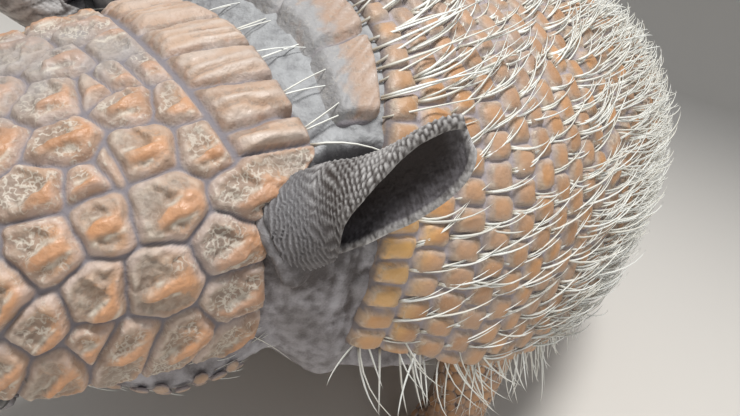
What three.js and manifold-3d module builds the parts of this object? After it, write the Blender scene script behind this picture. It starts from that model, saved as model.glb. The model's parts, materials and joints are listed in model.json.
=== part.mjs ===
// Six-banded armadillo, life size, standing: a faceted solid model in millimetres.
// x points to the animal's left, y towards its tail, z up. The soles are at z = 0.
import * as THREE from 'three';
import { mergeVertices } from 'three/addons/utils/BufferGeometryUtils.js';
import Module from 'manifold-3d';

const wasm = await Module();
wasm.setup();

// ---------------------------------------------------------------- driving dimensions
const GAP = 0.3;                 // clearance between neighbouring solids
const PLATE = 3.5;               // thickness of the carapace
const HEAD_PLATE = 3.0;          // thickness of the head shield
const HEAD_INSET = 4.6;          // the head lies this far under the shield's outer face
const BAND_COUNT = 7;
const SCAPULAR_REAR = -74;       // y of the scapular shield's hind margin
const BANDS_REAR = 17;           // y of the last movable band's hind margin
const PELVIC_MIDDLE = 95;        // y where the pelvic shield's two lengths meet
const PELVIC_REAR = 157;         // y of the pelvic shield's hind margin above the tail
const TRUNK_FRONT = -122;
const TRUNK_REAR = 152;
const HEAD_REAR = -21;           // hind end of the head, measured along the head
const SECTION_POWER = 2.35;      // body section: 2 is an ellipse, more is squarer
const HEAD_POWER = 2.5;
const HEAD_PITCH = 28.5;         // degrees, nose down
const HEAD_YAW = -21.5;          // degrees, nose turned to the animal's right
const HEAD_ROLL = -4.4;          // degrees, crown tipped to the left
const HEAD_ORIGIN = [-2.2, -161.7, 130.9];
const EYE_RADIUS = 4.2;

// y, half width, top, widest level, belly, margin angle from the top (degrees)
const BODY = [
  [-156, 54.5, 144, 98.5, 62, 100],
  [-150, 58, 146, 98, 60, 100],
  [-110, 80, 160, 94, 51, 104],
  [-60, 92, 172, 92, 46, 106],
  [0, 97, 178, 92, 45, 106],
  [60, 98, 178, 92, 47, 106],
  [110, 90, 168, 94, 53, 104],
  [140, 68, 140, 98, 66, 98],
  [158, 41, 109, 100, 74, 86],
];
// distance ahead of the crown, half width, top, widest level, underside
const HEAD = [
  [-28, 41, -2, -28, -56],
  [-14, 44, 1.5, -28, -57],
  [0, 45, 3.5, -28, -58],
  [15, 44.5, 4.5, -28, -57],
  [30, 41, 4, -27, -54],
  [45, 36, 1.5, -28, -49],
  [60, 29, -2.5, -28, -45],
  [75, 22, -8, -27, -41],
  [90, 15.5, -14, -27, -38],
  [104, 11.5, -18.5, -27.5, -36],
  [113, 8.5, -21, -27.5, -34],
];
const NOSE_TIP = 116;
const HEAD_SIDES = 20;

// ---------------------------------------------------------------- small tools
const radians = THREE.MathUtils.degToRad;
const mix = THREE.MathUtils.lerp;
const signedPower = (value, power) => Math.sign(value) * Math.abs(value) ** power;
const between = (count, start, end) =>
  Array.from({ length: count + 1 }, (_, i) => mix(start, end, i / count));

/** A smooth curve through [x, value] stations that never overshoots them. */
function curve(stations) {
  const last = stations.length - 1;
  const slope = (i) => (stations[i + 1][1] - stations[i][1]) / (stations[i + 1][0] - stations[i][0]);
  const tangents = stations.map((_, i) => {
    if (i === 0) return slope(0);
    if (i === last) return slope(last - 1);
    const [before, after] = [slope(i - 1), slope(i)];
    return before * after > 0 ? (2 * before * after) / (before + after) : 0;
  });
  return (x) => {
    let i = 0;
    while (i < last - 1 && x > stations[i + 1][0]) i += 1;
    const width = stations[i + 1][0] - stations[i][0];
    const t = THREE.MathUtils.clamp((x - stations[i][0]) / width, 0, 1);
    return (1 + 2 * t) * (1 - t) ** 2 * stations[i][1] + t * (1 - t) ** 2 * width * tangents[i]
      + t * t * (3 - 2 * t) * stations[i + 1][1] + t * t * (t - 1) * width * tangents[i + 1];
  };
}
const columns = (table) => table[0].slice(1).map((_, c) => curve(table.map((row) => [row[0], row[c + 1]])));

/** Geometry from points and triangles, turned so that its faces point out. */
function solid(points, triangles) {
  const geometry = new THREE.BufferGeometry();
  geometry.setAttribute('position', new THREE.Float32BufferAttribute(points.flat(), 3));
  let volume = 0;
  for (const [a, b, c] of triangles) {
    volume += new THREE.Vector3(...points[a]).dot(
      new THREE.Vector3(...points[b]).cross(new THREE.Vector3(...points[c])));
  }
  geometry.setIndex(triangles.map(([a, b, c]) => (volume < 0 ? [a, c, b] : [a, b, c])).flat());
  return mergeVertices(geometry, 1e-4);
}

/** Closed tube through rings of equal size, with a fan over each end. */
function loft(rings) {
  const size = rings[0].length;
  const points = rings.flat();
  const triangles = [];
  for (let r = 0; r < rings.length - 1; r += 1) {
    for (let i = 0; i < size; i += 1) {
      const [a, b] = [r * size + i, r * size + ((i + 1) % size)];
      triangles.push([a, b, b + size], [a, b + size, a + size]);
    }
  }
  for (const [start, flip] of [[0, true], [(rings.length - 1) * size, false]]) {
    const centre = points.length;
    const ring = points.slice(start, start + size);
    points.push([0, 1, 2].map((k) => ring.reduce((sum, p) => sum + p[k], 0) / size));
    for (let i = 0; i < size; i += 1) {
      const [a, b] = [start + i, start + ((i + 1) % size)];
      triangles.push(flip ? [centre, b, a] : [centre, a, b]);
    }
  }
  return solid(points, triangles);
}

/** Closed plate between an outer and an inner face, both at(s, u, depth) with s and u from 0 to 1. */
function plate(rows, cols, thickness, at) {
  const points = [];
  const index = (face, r, c) => (face * (rows + 1) + r) * (cols + 1) + c;
  for (const depth of [0, thickness]) {
    for (let r = 0; r <= rows; r += 1) {
      for (let c = 0; c <= cols; c += 1) points.push(at(r / rows, c / cols, depth));
    }
  }
  const triangles = [];
  const quad = (a, b, c, d) => triangles.push([a, b, c], [a, c, d]);
  for (let r = 0; r < rows; r += 1) {
    for (let c = 0; c < cols; c += 1) {
      quad(index(0, r, c), index(0, r, c + 1), index(0, r + 1, c + 1), index(0, r + 1, c));
      quad(index(1, r, c), index(1, r + 1, c), index(1, r + 1, c + 1), index(1, r, c + 1));
    }
    quad(index(0, r, 0), index(0, r + 1, 0), index(1, r + 1, 0), index(1, r, 0));
    quad(index(0, r, cols), index(1, r, cols), index(1, r + 1, cols), index(0, r + 1, cols));
  }
  for (let c = 0; c < cols; c += 1) {
    quad(index(0, 0, c), index(1, 0, c), index(1, 0, c + 1), index(0, 0, c + 1));
    quad(index(0, rows, c), index(0, rows, c + 1), index(1, rows, c + 1), index(1, rows, c));
  }
  return solid(points, triangles);
}

function toManifold(geometry) {
  return new wasm.Manifold(new wasm.Mesh({
    numProp: 3,
    vertProperties: new Float32Array(geometry.attributes.position.array),
    triVerts: new Uint32Array(geometry.index.array),
  }));
}

/** A geometry with the volume of the others cut away. */
function cut(geometry, ...others) {
  let body = toManifold(geometry);
  for (const other of others) body = body.subtract(toManifold(other));
  const { vertProperties, triVerts } = body.getMesh();
  const result = new THREE.BufferGeometry();
  result.setAttribute('position', new THREE.Float32BufferAttribute(vertProperties, 3));
  result.setIndex(Array.from(triVerts));
  return result;
}

/** Ring of an oval section about a centre, spanned by two axes. */
function ovalRing(centre, axisA, axisB, radiusA, radiusB, sides, power = 2) {
  return Array.from({ length: sides }, (_, i) => {
    const angle = (2 * Math.PI * i) / sides;
    const a = radiusA * signedPower(Math.cos(angle), 2 / power);
    const b = radiusB * signedPower(Math.sin(angle), 2 / power);
    return centre.map((value, k) => value + a * axisA[k] + b * axisB[k]);
  });
}

// ---------------------------------------------------------------- body surface
const [halfWidth, top, level, belly, marginAngle] = columns(BODY);

/** Point of the carapace: y, degrees round from the top (positive left), depth under the surface. */
function carapacePoint(y, degrees, depth = 0) {
  const power = 2 / SECTION_POWER;
  const angle = radians(degrees);
  return [
    (halfWidth(y) - depth) * signedPower(Math.sin(angle), power),
    y,
    level(y) + (top(y) - depth - level(y)) * signedPower(Math.cos(angle), power),
  ];
}

// The trunk lies this far under the carapace's outer face, more where the rump slopes down.
const trunkInset = curve([[TRUNK_FRONT, 4.4], [105, 4.4], [TRUNK_REAR, 8]]);

/** Ring of the trunk's skin at y: the carapace's section above, the belly below. */
function trunkRing(y, sides, grow = 0) {
  const power = 2 / SECTION_POWER;
  return Array.from({ length: sides }, (_, i) => {
    const angle = (2 * Math.PI * i) / sides;
    const upper = Math.cos(angle) > 0;
    const height = upper ? top(y) - trunkInset(y) - level(y) : level(y) - belly(y);
    return [
      (halfWidth(y) - trunkInset(y) + grow) * signedPower(Math.sin(angle), power),
      y,
      level(y) + (height + grow) * signedPower(Math.cos(angle), power),
    ];
  });
}

const TRUNK_SIDES = 24;
function trunk(grow = 0) {
  const stations = [TRUNK_FRONT, -108, -90, -60, -30, 0, 30, 60, 85, 105, 122, 138, TRUNK_REAR];
  return loft(stations.map((y) => trunkRing(y, TRUNK_SIDES, grow)));
}

// ---------------------------------------------------------------- head surface
const [headHalfWidth, headTop, headLevel, headUnder] = columns(HEAD);
const headTurn = new THREE.Matrix4().makeRotationZ(radians(HEAD_YAW));
const headPitch = new THREE.Matrix4().makeRotationX(radians(HEAD_PITCH));
const ROLL_AXIS_HEIGHT = -28;    // the head rolls about its own middle

/** From the head's own frame (left, forward, up) to the animal's. */
function fromHead([left, forward, up]) {
  const roll = radians(HEAD_ROLL);
  const height = up - ROLL_AXIS_HEIGHT;
  const rolled = new THREE.Vector3(
    Math.cos(roll) * left - Math.sin(roll) * height,
    -forward,
    Math.sin(roll) * left + Math.cos(roll) * height + ROLL_AXIS_HEIGHT,
  );
  rolled.applyMatrix4(headPitch).applyMatrix4(headTurn);
  return rolled.add(new THREE.Vector3(...HEAD_ORIGIN)).toArray();
}

/** Point of the head's outer surface in the head's own frame. */
function headLocal(forward, degrees, depth = 0) {
  const power = 2 / HEAD_POWER;
  const angle = radians(degrees);
  const rise = Math.cos(angle) > 0
    ? headTop(forward) - depth - headLevel(forward)
    : headLevel(forward) - headUnder(forward) - depth;
  return [
    (headHalfWidth(forward) - depth) * signedPower(Math.sin(angle), power),
    forward,
    headLevel(forward) + rise * signedPower(Math.cos(angle), power),
  ];
}
const headPoint = (forward, degrees, depth = 0) => fromHead(headLocal(forward, degrees, depth));

// The skin comes flush with the shield's outer face where the shield ends on the nose.
const headDepth = curve([[-30, HEAD_INSET], [84, HEAD_INSET], [98, 0.6], [NOSE_TIP, 0.6]]);
// The hind end is square to the neck: its underside stands further forward than its top.
const rearTilt = curve([[HEAD_REAR - 1, 30], [22, 0], [NOSE_TIP, 0]]);
const headRing = (forward, sides, grow = 0) => between(sides, 0, 360).slice(0, sides).map((degrees) => {
  const tilted = forward + (rearTilt(forward) * (1 - Math.cos(radians(degrees)))) / 2;
  return headPoint(tilted, degrees, headDepth(tilted) - grow);
});

function head(grow = 0) {
  const stations = [HEAD_REAR, -8, 6, 20, 34, 48, 62, 76, 88, 100, 113];
  const rings = stations.map((forward) => headRing(forward, HEAD_SIDES, grow));
  const tip = headRing(113, HEAD_SIDES, grow);
  const centre = fromHead([0, NOSE_TIP, (headTop(113) + headUnder(113)) / 2]);
  const forwardStep = fromHead([0, NOSE_TIP, 0]).map((v, k) => v - fromHead([0, 113, 0])[k]);
  const nosePad = tip.map((p) => p.map((v, k) => mix(v + forwardStep[k], centre[k], 0.3)));
  return loft([...rings, nosePad]);
}

// Hind and side margins of the head shield.
const shieldRear = curve([[0, -20], [34, -16], [56, -14.5], [64, -8], [74, 0], [84, 3], [108, 8]]);
const shieldMargin = curve([[0, 111], [12, 112], [27, 108], [40, 102], [50, 91], [60, 88], [75, 86], [92, 80]]);
const SHIELD_FRONT = 90;

function headShield(grow = 0) {
  return plate(10, 18, HEAD_PLATE + 2 * grow, (s, u, depth) => {
    const side = 2 * u - 1;
    const rear = shieldRear(Math.abs(side) * 108) - grow;
    const forward = mix(rear, SHIELD_FRONT - 8 * side * side, s);
    return headPoint(forward, side * (shieldMargin(forward) + grow), depth - grow);
  });
}

// ---------------------------------------------------------------- neck and nuchal band
const NECK_END = { halfWidth: 56, top: 148, level: 98, under: 56 };

function neck(grow = 0) {
  const power = 2 / SECTION_POWER;
  const front = headRing(HEAD_REAR - GAP + 2 * grow, HEAD_SIDES, grow);
  const rear = between(HEAD_SIDES, 0, 360).slice(0, HEAD_SIDES).map((degrees) => {
    const angle = radians(degrees);
    const rise = Math.cos(angle) > 0 ? NECK_END.top - NECK_END.level : NECK_END.level - NECK_END.under;
    return [
      (NECK_END.halfWidth + grow) * signedPower(Math.sin(angle), power),
      TRUNK_FRONT - GAP,
      NECK_END.level + (rise + grow) * signedPower(Math.cos(angle), power),
    ];
  });
  return loft(between(3, 0, 1).map((t) => front.map((p, i) => p.map((v, k) => mix(v, rear[i][k], t)))));
}

/** y of the scapular shield's front margin: notched over the neck, lobed at the sides. */
const scapularFront = (degrees) => -152 + 27 * Math.exp(-((degrees / 42) ** 2));

function nuchalBand() {
  const halfAngle = 48;
  return plate(3, 14, 3, (s, u, depth) => {
    const degrees = (2 * u - 1) * halfAngle;
    const front = headPoint(shieldRear(Math.abs(degrees)), degrees, depth);
    const rear = carapacePoint(scapularFront(degrees), degrees, depth);
    return front.map((v, k) => mix(v, rear[k], mix(0.29, 0.78, s)));
  });
}

// ---------------------------------------------------------------- carapace
function carapaceStrip(rows, cols, front, rear) {
  return plate(rows, cols, PLATE, (s, u, depth) => {
    const side = 2 * u - 1;
    const y = mix(front(side), rear(side), s);
    return carapacePoint(y, side * marginAngle(y), depth);
  });
}
const scapularShield = () => carapaceStrip(7, 20, (side) => scapularFront(side * 104), () => SCAPULAR_REAR);
// The pelvic shield is made in two lengths, the arch over the haunches and the bowl over the rump.
const pelvicArch = () => carapaceStrip(3, 20, () => BANDS_REAR + GAP, () => PELVIC_MIDDLE);
const rumpBowl = () => carapaceStrip(4, 20, () => PELVIC_MIDDLE + GAP, (side) => PELVIC_REAR - 8 * side * side);

function band(number) {
  const width = (BANDS_REAR - SCAPULAR_REAR) / BAND_COUNT;
  const front = SCAPULAR_REAR + width * (number - 1) + GAP;
  return carapaceStrip(1, 20, () => front, () => front + width - GAP);
}

// ---------------------------------------------------------------- ears, in the head's frame
const EAR_LENGTH = 31.5;         // from the side of the head to the tip
const EAR_SHEET = 1.6;
const EAR_HIND_RIM = 340;        // angle round the section, degrees
// part of the length, middle of the section, half width, half depth, angle of the front rim
const EAR_SECTIONS = [
  [-0.2, 1, 8.5, 7, -10],
  [0.05, 1.2, 8.5, 7, 5],
  [0.23, 1.4, 8.4, 6.8, 67],
  [0.38, 1.7, 7.6, 6.4, 92],
  [0.5, 1.7, 7.4, 6, 110],
  [0.63, 1.2, 7.2, 5.5, 128],
  [0.75, 0.5, 7, 5, 138],
  [0.88, -0.5, 6.2, 4, 138],
  [0.96, -1.5, 4.8, 3, 130],
  [1, -2.6, 3, 2.4, 118],
];
const [earMiddle, earHalfWidth, earHalfDepth, earFrontRim] = columns(EAR_SECTIONS);
// Each ear's length and the direction across its opening. The left ear is laid back along the neck.
// The right one, inside the turn of the head, stands up and is folded narrower.
const EARS = {
  1: { base: headLocal(-7.5, 74), along: [0.506, -0.797, 0.33], across: [0.704, 0.154, -0.693], spread: 1, turn: 1 },
  [-1]: { base: headLocal(-2, 70), along: [-0.08, 0.64, 0.76], across: [0.8, 0.4, -0.3], spread: 0.72, turn: -1 },
};

function ear(side) {
  const { base, spread, turn } = EARS[side];
  const along = new THREE.Vector3(...EARS[side].along).normalize();
  const across = new THREE.Vector3(...EARS[side].across);
  across.addScaledVector(along, -across.dot(along)).normalize();
  const outward = new THREE.Vector3().crossVectors(along, across).multiplyScalar(turn);
  return plate(8, 10, EAR_SHEET, (s, u, depth) => {
    const t = mix(-0.16, 1, s);
    const angle = radians(mix(earFrontRim(t), EAR_HIND_RIM, u));
    const p = new THREE.Vector3(...base)
      .addScaledVector(along, EAR_LENGTH * t)
      .addScaledVector(across, earMiddle(t) + (earHalfWidth(t) * spread - depth) * Math.cos(angle))
      .addScaledVector(outward, (earHalfDepth(t) * spread - depth) * Math.sin(angle));
    return fromHead([side * p.x, p.y, p.z]);
  });
}

// ---------------------------------------------------------------- eyes
const EYE_AT = { forward: 50, degrees: 102, depth: 5.4 };

function eyeball(side, grow = 0) {
  const ball = new THREE.SphereGeometry(EYE_RADIUS + grow, 12, 8);
  ball.deleteAttribute('normal');
  ball.deleteAttribute('uv');
  ball.translate(...headPoint(EYE_AT.forward, side * EYE_AT.degrees, EYE_AT.depth));
  return mergeVertices(ball, 1e-4);
}

// ---------------------------------------------------------------- limbs
// centre line points with the two radii of each section: [x, y, z, across, fore-and-aft]
const FORE_LEG = [
  [58, -88, 80, 16, 20],
  [63, -81, 62, 15.5, 19],
  [67, -82, 45, 13.5, 15],
  [69, -90, 28, 11, 11.5],
  [69, -95, 14, 10.5, 11],
];
const HIND_LEG = [
  [62, 84, 86, 19, 30],
  [66, 78, 68, 19, 27],
  [68, 78, 52, 16, 21],
  [66, 86, 36, 13, 14.5],
  [65, 94, 22, 11.5, 12],
  [65, 97, 12, 11, 11.5],
];
// foot sections from heel to toes: [y, half width, height]
const FORE_FOOT = { x: 70, rings: [[-82, 7, 13], [-86, 11, 19], [-96, 12.5, 20], [-107, 14, 15.5], [-113, 12, 12], [-117, 9, 9]] };
const HIND_FOOT = {
  x: 66,
  rings: [[110, 6, 12], [106, 10, 17], [96, 12, 20], [82, 13, 16.5], [70, 14.5, 13], [64, 12.5, 10.5], [60, 9.5, 8]],
};
// toes from the inner to the outer: [offset across, start y, splay degrees, claw length, claw half width]
const FORE_TOES = [
  [-9.5, -108, 20, 15, 2.1],
  [-5, -112, 9, 23, 2.6],
  [0, -113, 0, 24, 2.8],
  [5.3, -111, -9, 18, 2.5],
  [9.7, -106, -20, 12, 2],
];
const HIND_TOES = [
  [-10, 69, 16, 10, 2],
  [-5.3, 65, 7, 13, 2.3],
  [0, 64, 0, 14, 2.5],
  [5.3, 65, -7, 13, 2.3],
  [10, 69, -16, 10, 2],
];

// how far each paw stands behind its place in an even stance
const STRIDE = { fore_left: 40, fore_right: -8, hind_left: -14, hind_right: 14 };

/** A limb's tables moved back; the top of the leg moves about half as far as the paw. */
function strode(legPoints, paw, toes, back) {
  const share = (z) => Math.min(1, 1.1 - 0.0075 * z);
  return {
    legPoints: legPoints.map(([x, y, z, ...radii]) => [x, y + back * share(z), z, ...radii]),
    paw: { x: paw.x, rings: paw.rings.map(([y, ...size]) => [y + back, ...size]) },
    toes: toes.map(([offset, y, ...shape]) => [offset, y + back, ...shape]),
  };
}

function leg(points, side, grow = 0) {
  return loft(points.map(([x, y, z, across, along]) =>
    ovalRing([side * x, y, z], [1, 0, 0], [0, 1, 0], across + grow, along + grow, 14)));
}

/** A paw with a flat sole on the floor and a rounded back. */
function foot({ x, rings }, side, grow = 0) {
  const sides = 12;
  return loft(rings.map(([y, half, height]) => Array.from({ length: sides }, (_, i) => {
    const angle = (2 * Math.PI * (i + 0.5)) / sides;
    const across = (half + grow) * signedPower(Math.cos(angle), 2 / 2.8);
    const up = height / 2 + (height / 2 + grow) * signedPower(Math.sin(angle), 2 / 3.2);
    return [side * x + across, y, Math.max(up, -grow)];
  })));
}

/** A claw that arches forward and down from a toe, ending just clear of the floor. */
function claw([offset, startY, splay, length, half], x, height, side) {
  const turn = radians(splay * side);
  const inward = 4;
  const rings = [0, 0.3, 0.6, 0.85, 1].map((t) => {
    const reach = t * (length + inward) - inward;
    const z = mix(height, 2.2, Math.max(0, t) ** 1.5) + 1.6 * Math.sin(Math.PI * t);
    const taper = Math.sqrt(1 - 0.93 * t ** 1.6);
    const centre = [side * (x + offset) - Math.sin(turn) * reach, startY - Math.cos(turn) * reach, z];
    return ovalRing(centre, [Math.cos(turn), -Math.sin(turn), 0], [0, 0, 1], half * taper, 1.25 * half * taper, 6);
  });
  return loft(rings);
}

// ---------------------------------------------------------------- tail
const TAIL_LINE = [[0, 152.3, 91], [0, 172, 87], [1, 205, 74], [5, 245, 55], [11, 290, 37], [17, 330, 25], [21, 360, 19.5]];
const tailRadius = curve([[0, 15.5], [0.15, 14.6], [0.4, 11.6], [0.7, 7.8], [1, 3.2]]);
const tailCurve = new THREE.CatmullRomCurve3(TAIL_LINE.map((p) => new THREE.Vector3(...p)), false, 'centripetal');

function tailLength(start, end, steps, sides) {
  return loft(between(steps, start, end).map((t) => {
    const centre = tailCurve.getPointAt(t).toArray();
    // The first section lies flat against the trunk; the others are square to the tail.
    const along = t === 0 ? new THREE.Vector3(0, 1, 0) : tailCurve.getTangentAt(t);
    const across = new THREE.Vector3().crossVectors(along, new THREE.Vector3(0, 0, 1)).normalize();
    const up = new THREE.Vector3().crossVectors(across, along);
    return ovalRing(centre, across.toArray(), up.toArray(), tailRadius(t), 0.94 * tailRadius(t), sides);
  }));
}

// ---------------------------------------------------------------- materials
const finish = (color, roughness) => new THREE.MeshStandardMaterial({ color, roughness, metalness: 0 });
const skinFinish = finish(0x8a8280, 0.75);
const earFinish = finish(0x8f9194, 0.7);
const headPlateFinish = finish(0xc09472, 0.5);
const bodyPlateFinish = finish(0xbe9773, 0.5);
const clawFinish = finish(0xb9a585, 0.4);
const eyeFinish = finish(0x120c0a, 0.08);

// ---------------------------------------------------------------- assembly
const armadillo = new THREE.Group();
function add(name, geometry, material) {
  const mesh = new THREE.Mesh(geometry, material);
  mesh.name = name;
  armadillo.add(mesh);
}

const headGrown = head(GAP);
const shieldGrown = headShield(2 * GAP);
const neckGrown = neck(GAP);
const trunkGrown = trunk(GAP);
add('head', cut(head(), eyeball(1, GAP), eyeball(-1, GAP)), skinFinish);
add('neck', neck(), skinFinish);
add('trunk', trunk(), skinFinish);
add('head_shield', headShield(), headPlateFinish);
add('nuchal_band', nuchalBand(), bodyPlateFinish);
add('scapular_shield', scapularShield(), bodyPlateFinish);
for (let number = 1; number <= BAND_COUNT; number += 1) add(`band_${number}`, band(number), bodyPlateFinish);
add('pelvic_shield_front', pelvicArch(), bodyPlateFinish);
add('pelvic_shield_rear', rumpBowl(), bodyPlateFinish);

const SIDES = { left: 1, right: -1 };
for (const [label, side] of Object.entries(SIDES)) {
  add(`ear_${label}`, cut(ear(side), headGrown, neckGrown, shieldGrown), earFinish);
  add(`eye_${label}`, eyeball(side), eyeFinish);
  for (const [kind, ...tables] of [
    ['fore', FORE_LEG, FORE_FOOT, FORE_TOES],
    ['hind', HIND_LEG, HIND_FOOT, HIND_TOES],
  ]) {
    const { legPoints, paw, toes } = strode(...tables, STRIDE[`${kind}_${label}`]);
    const pawGrown = foot(paw, side, GAP);
    add(`${kind}_leg_${label}`, cut(leg(legPoints, side), trunkGrown, pawGrown), skinFinish);
    add(`${kind}_foot_${label}`, foot(paw, side), skinFinish);
    toes.forEach((toe, i) => {
      add(`${kind}_claw_${label}_${i + 1}`, cut(claw(toe, paw.x, 6.5, side), pawGrown), clawFinish);
    });
  }
}

const TAIL_CUTS = [0, 0.34, 0.68, 1];
const tailGap = GAP / tailCurve.getLength();
['tail_base', 'tail_middle', 'tail_tip'].forEach((name, i) => {
  const start = TAIL_CUTS[i] + (i > 0 ? tailGap : 0);
  add(name, tailLength(start, TAIL_CUTS[i + 1], 5, 12), skinFinish);
});

// Origin: the middle of the bounding box, on the floor.
const bounds = new THREE.Box3().setFromObject(armadillo);
const middle = bounds.getCenter(new THREE.Vector3());
for (const mesh of armadillo.children) mesh.geometry.translate(-middle.x, -middle.y, -bounds.min.z);

export default armadillo;
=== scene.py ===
import json
import math
from typing import NamedTuple

import bmesh
import bpy
import numpy as np
from mathutils import Matrix, Vector
from numpy.linalg import norm

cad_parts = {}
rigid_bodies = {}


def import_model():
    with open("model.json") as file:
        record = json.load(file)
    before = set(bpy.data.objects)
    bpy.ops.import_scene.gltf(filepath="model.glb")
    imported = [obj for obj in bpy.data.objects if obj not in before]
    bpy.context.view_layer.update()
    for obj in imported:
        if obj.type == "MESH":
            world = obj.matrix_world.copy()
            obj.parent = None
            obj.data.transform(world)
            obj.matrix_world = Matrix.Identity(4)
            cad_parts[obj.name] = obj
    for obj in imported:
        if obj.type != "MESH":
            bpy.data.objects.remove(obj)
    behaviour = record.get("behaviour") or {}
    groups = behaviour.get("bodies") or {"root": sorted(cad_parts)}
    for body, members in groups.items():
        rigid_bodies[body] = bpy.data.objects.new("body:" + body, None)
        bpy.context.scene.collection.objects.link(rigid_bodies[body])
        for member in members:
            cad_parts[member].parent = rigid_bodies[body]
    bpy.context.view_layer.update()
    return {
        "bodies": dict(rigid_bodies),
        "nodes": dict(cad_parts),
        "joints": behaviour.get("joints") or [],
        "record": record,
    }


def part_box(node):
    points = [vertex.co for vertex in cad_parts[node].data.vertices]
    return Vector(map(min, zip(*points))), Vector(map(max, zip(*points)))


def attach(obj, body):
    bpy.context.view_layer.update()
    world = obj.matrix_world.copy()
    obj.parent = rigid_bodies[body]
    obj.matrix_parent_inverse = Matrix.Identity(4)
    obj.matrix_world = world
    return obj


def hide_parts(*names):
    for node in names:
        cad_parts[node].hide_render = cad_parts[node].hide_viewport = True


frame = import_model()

# A six-banded armadillo, life size. Tables and shape functions are in millimetres in the animal's own frame:
# x to its left, y towards its tail, z up from the soles. Meshes are made in metres in the part's frame.
MM = 0.001

# ---------------- driving sizes
SCAPULAR_REAR = -74.0
BANDS_REAR = 17.0
PELVIC_REAR = 157.0
SIDES = {1: "left", -1: "right"}
BAND_COUNT = 7
BAND_WIDTH = (BANDS_REAR - SCAPULAR_REAR) / BAND_COUNT
SECTION_POWER = 2.35
HEAD_POWER = 2.5
HEAD_PITCH = 28.5
HEAD_YAW = -21.5
HEAD_ROLL = -4.4
HEAD_ROLL_AXIS = -28.0
HEAD_ORIGIN = np.array([-2.2, -161.7, 130.9])
SHIELD_FRONT = 90.0
# The part's frame has its origin at the middle of the box, so it is slid along y from the animal's own.
BODY_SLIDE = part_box("scapular_shield")[1].y / MM - SCAPULAR_REAR

# y, half width, top, widest level, belly, margin angle from the top in degrees
BODY = [
    (-156, 54.5, 144, 98.5, 62, 100),
    (-150, 58, 146, 98, 60, 100),
    (-110, 80, 160, 94, 51, 104),
    (-60, 92, 172, 92, 46, 106),
    (0, 97, 178, 92, 45, 106),
    (60, 98, 178, 92, 47, 106),
    (110, 90, 168, 94, 53, 104),
    (140, 68, 140, 98, 66, 98),
    (158, 41, 109, 100, 74, 86),
]
# distance ahead of the crown, half width, top, widest level, underside
HEAD = [
    (-28, 41, -2, -28, -56),
    (-14, 44, 1.5, -28, -57),
    (0, 45, 3.5, -28, -58),
    (15, 44.5, 4.5, -28, -57),
    (30, 41, 4, -27, -54),
    (45, 36, 1.5, -28, -49),
    (60, 29, -2.5, -28, -45),
    (75, 22, -8, -27, -41),
    (90, 15.5, -14, -27, -38),
    (104, 11.5, -18.5, -27.5, -36),
    (113, 8.5, -21, -27.5, -34),
]


# ---------------- small tools
def between(t, width, value, slope, i):
    """The cubic from station i to the next, at share t of the width between them."""
    near = (1 + 2 * t) * (1 - t) ** 2 * value[i] + t * (1 - t) ** 2 * width * slope[i]
    return near + t * t * (3 - 2 * t) * value[i + 1] + t * t * (t - 1) * width * slope[i + 1]


def curve(stations):
    """A smooth curve through (x, value) stations that never overshoots them."""
    x, value = np.array(stations, float).T
    step = np.diff(value) / np.diff(x)
    slope = np.empty_like(x)
    slope[0], slope[-1] = step[0], step[-1]
    same_way = step[1:] * step[:-1] > 0
    total = np.where(same_way, step[1:] + step[:-1], 1)
    slope[1:-1] = np.where(same_way, 2 * step[1:] * step[:-1] / total, 0)

    def at(place):
        i = np.clip(np.searchsorted(x, place) - 1, 0, len(x) - 2)
        width = x[i + 1] - x[i]
        t = limited((place - x[i]) / width)
        return between(t, width, value, slope, i)

    return at


def columns(table):
    """A curve for each column of a table over its first column."""
    return [curve([(row[0], value) for row, value in zip(table, column)]) for column in list(zip(*table))[1:]]


def along_table(table):
    """A curve for each column of a table over the share of its length."""
    return columns([(k / (len(table) - 1), *row) for k, row in enumerate(table)])


def joined(*parts):
    """Arrays side by side along a new last axis, such as points from their coordinates."""
    return np.stack(np.broadcast_arrays(*parts), -1)


def signed_power(value, power):
    return np.sign(value) * np.abs(value) ** power


def mix(a, b, t):
    return a + (b - a) * t


def ramp(low, high, value):
    """0 below low, 1 above high and smooth between them; low may be the higher one."""
    t = limited((value - low) / (high - low))
    return t * t * (3 - 2 * t)


def bell(away, width):
    """1 in the middle, falling smoothly to nothing at about twice the width."""
    return np.exp(-((away / width) ** 2))


def limited(value):
    return np.clip(value, 0, 1)


def unit(vectors):
    return vectors / np.maximum(norm(vectors, axis=-1, keepdims=True), 1e-12)


def hashed(whole, seed):
    """Numbers from 0 to 1 that look random, one for each row of whole numbers."""
    code = np.full(whole.shape[:-1], seed * 374761393 + 668265263, np.int64)
    for k in range(whole.shape[-1]):
        code = (code ^ (whole[..., k].astype(np.int64) * (73856093, 19349663, 83492791)[k])) & 0xFFFFFFFF
        code = ((code ^ (code >> 15)) * 2246822519) & 0xFFFFFFFF
    code ^= code >> 13
    return (code & 0xFFFF) / 65535.0


def lumps(points, size, seed=0, octaves=1):
    """Smooth noise from -1 to 1 over points, with lumps of that size and finer ones."""
    total, weight = 0.0, 0.0
    for octave in range(octaves):
        share = 0.5**octave
        place = points / (size * share)
        cell = np.floor(place)
        t = place - cell
        t = t * t * (3 - 2 * t)
        value = 0.0
        for corner in np.ndindex((2,) * points.shape[-1]):
            near = np.where(corner, t, 1 - t).prod(-1)
            value = value + near * hashed(cell + np.array(corner), seed + octave)
        total = total + share * (2 * value - 1)
        weight += share
    return total / weight


# ---------------- the two carrying surfaces
half_width, top, level, belly, margin_angle = columns(BODY)
head_half_width, head_top, head_level, head_under = columns(HEAD)


def rounded(degrees, power):
    """Sine and cosine drawn out to an oval with fuller corners; a power of 2 is a plain oval."""
    angle = np.radians(degrees)
    return signed_power(np.sin(angle), 2 / power), signed_power(np.cos(angle), 2 / power)


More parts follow.
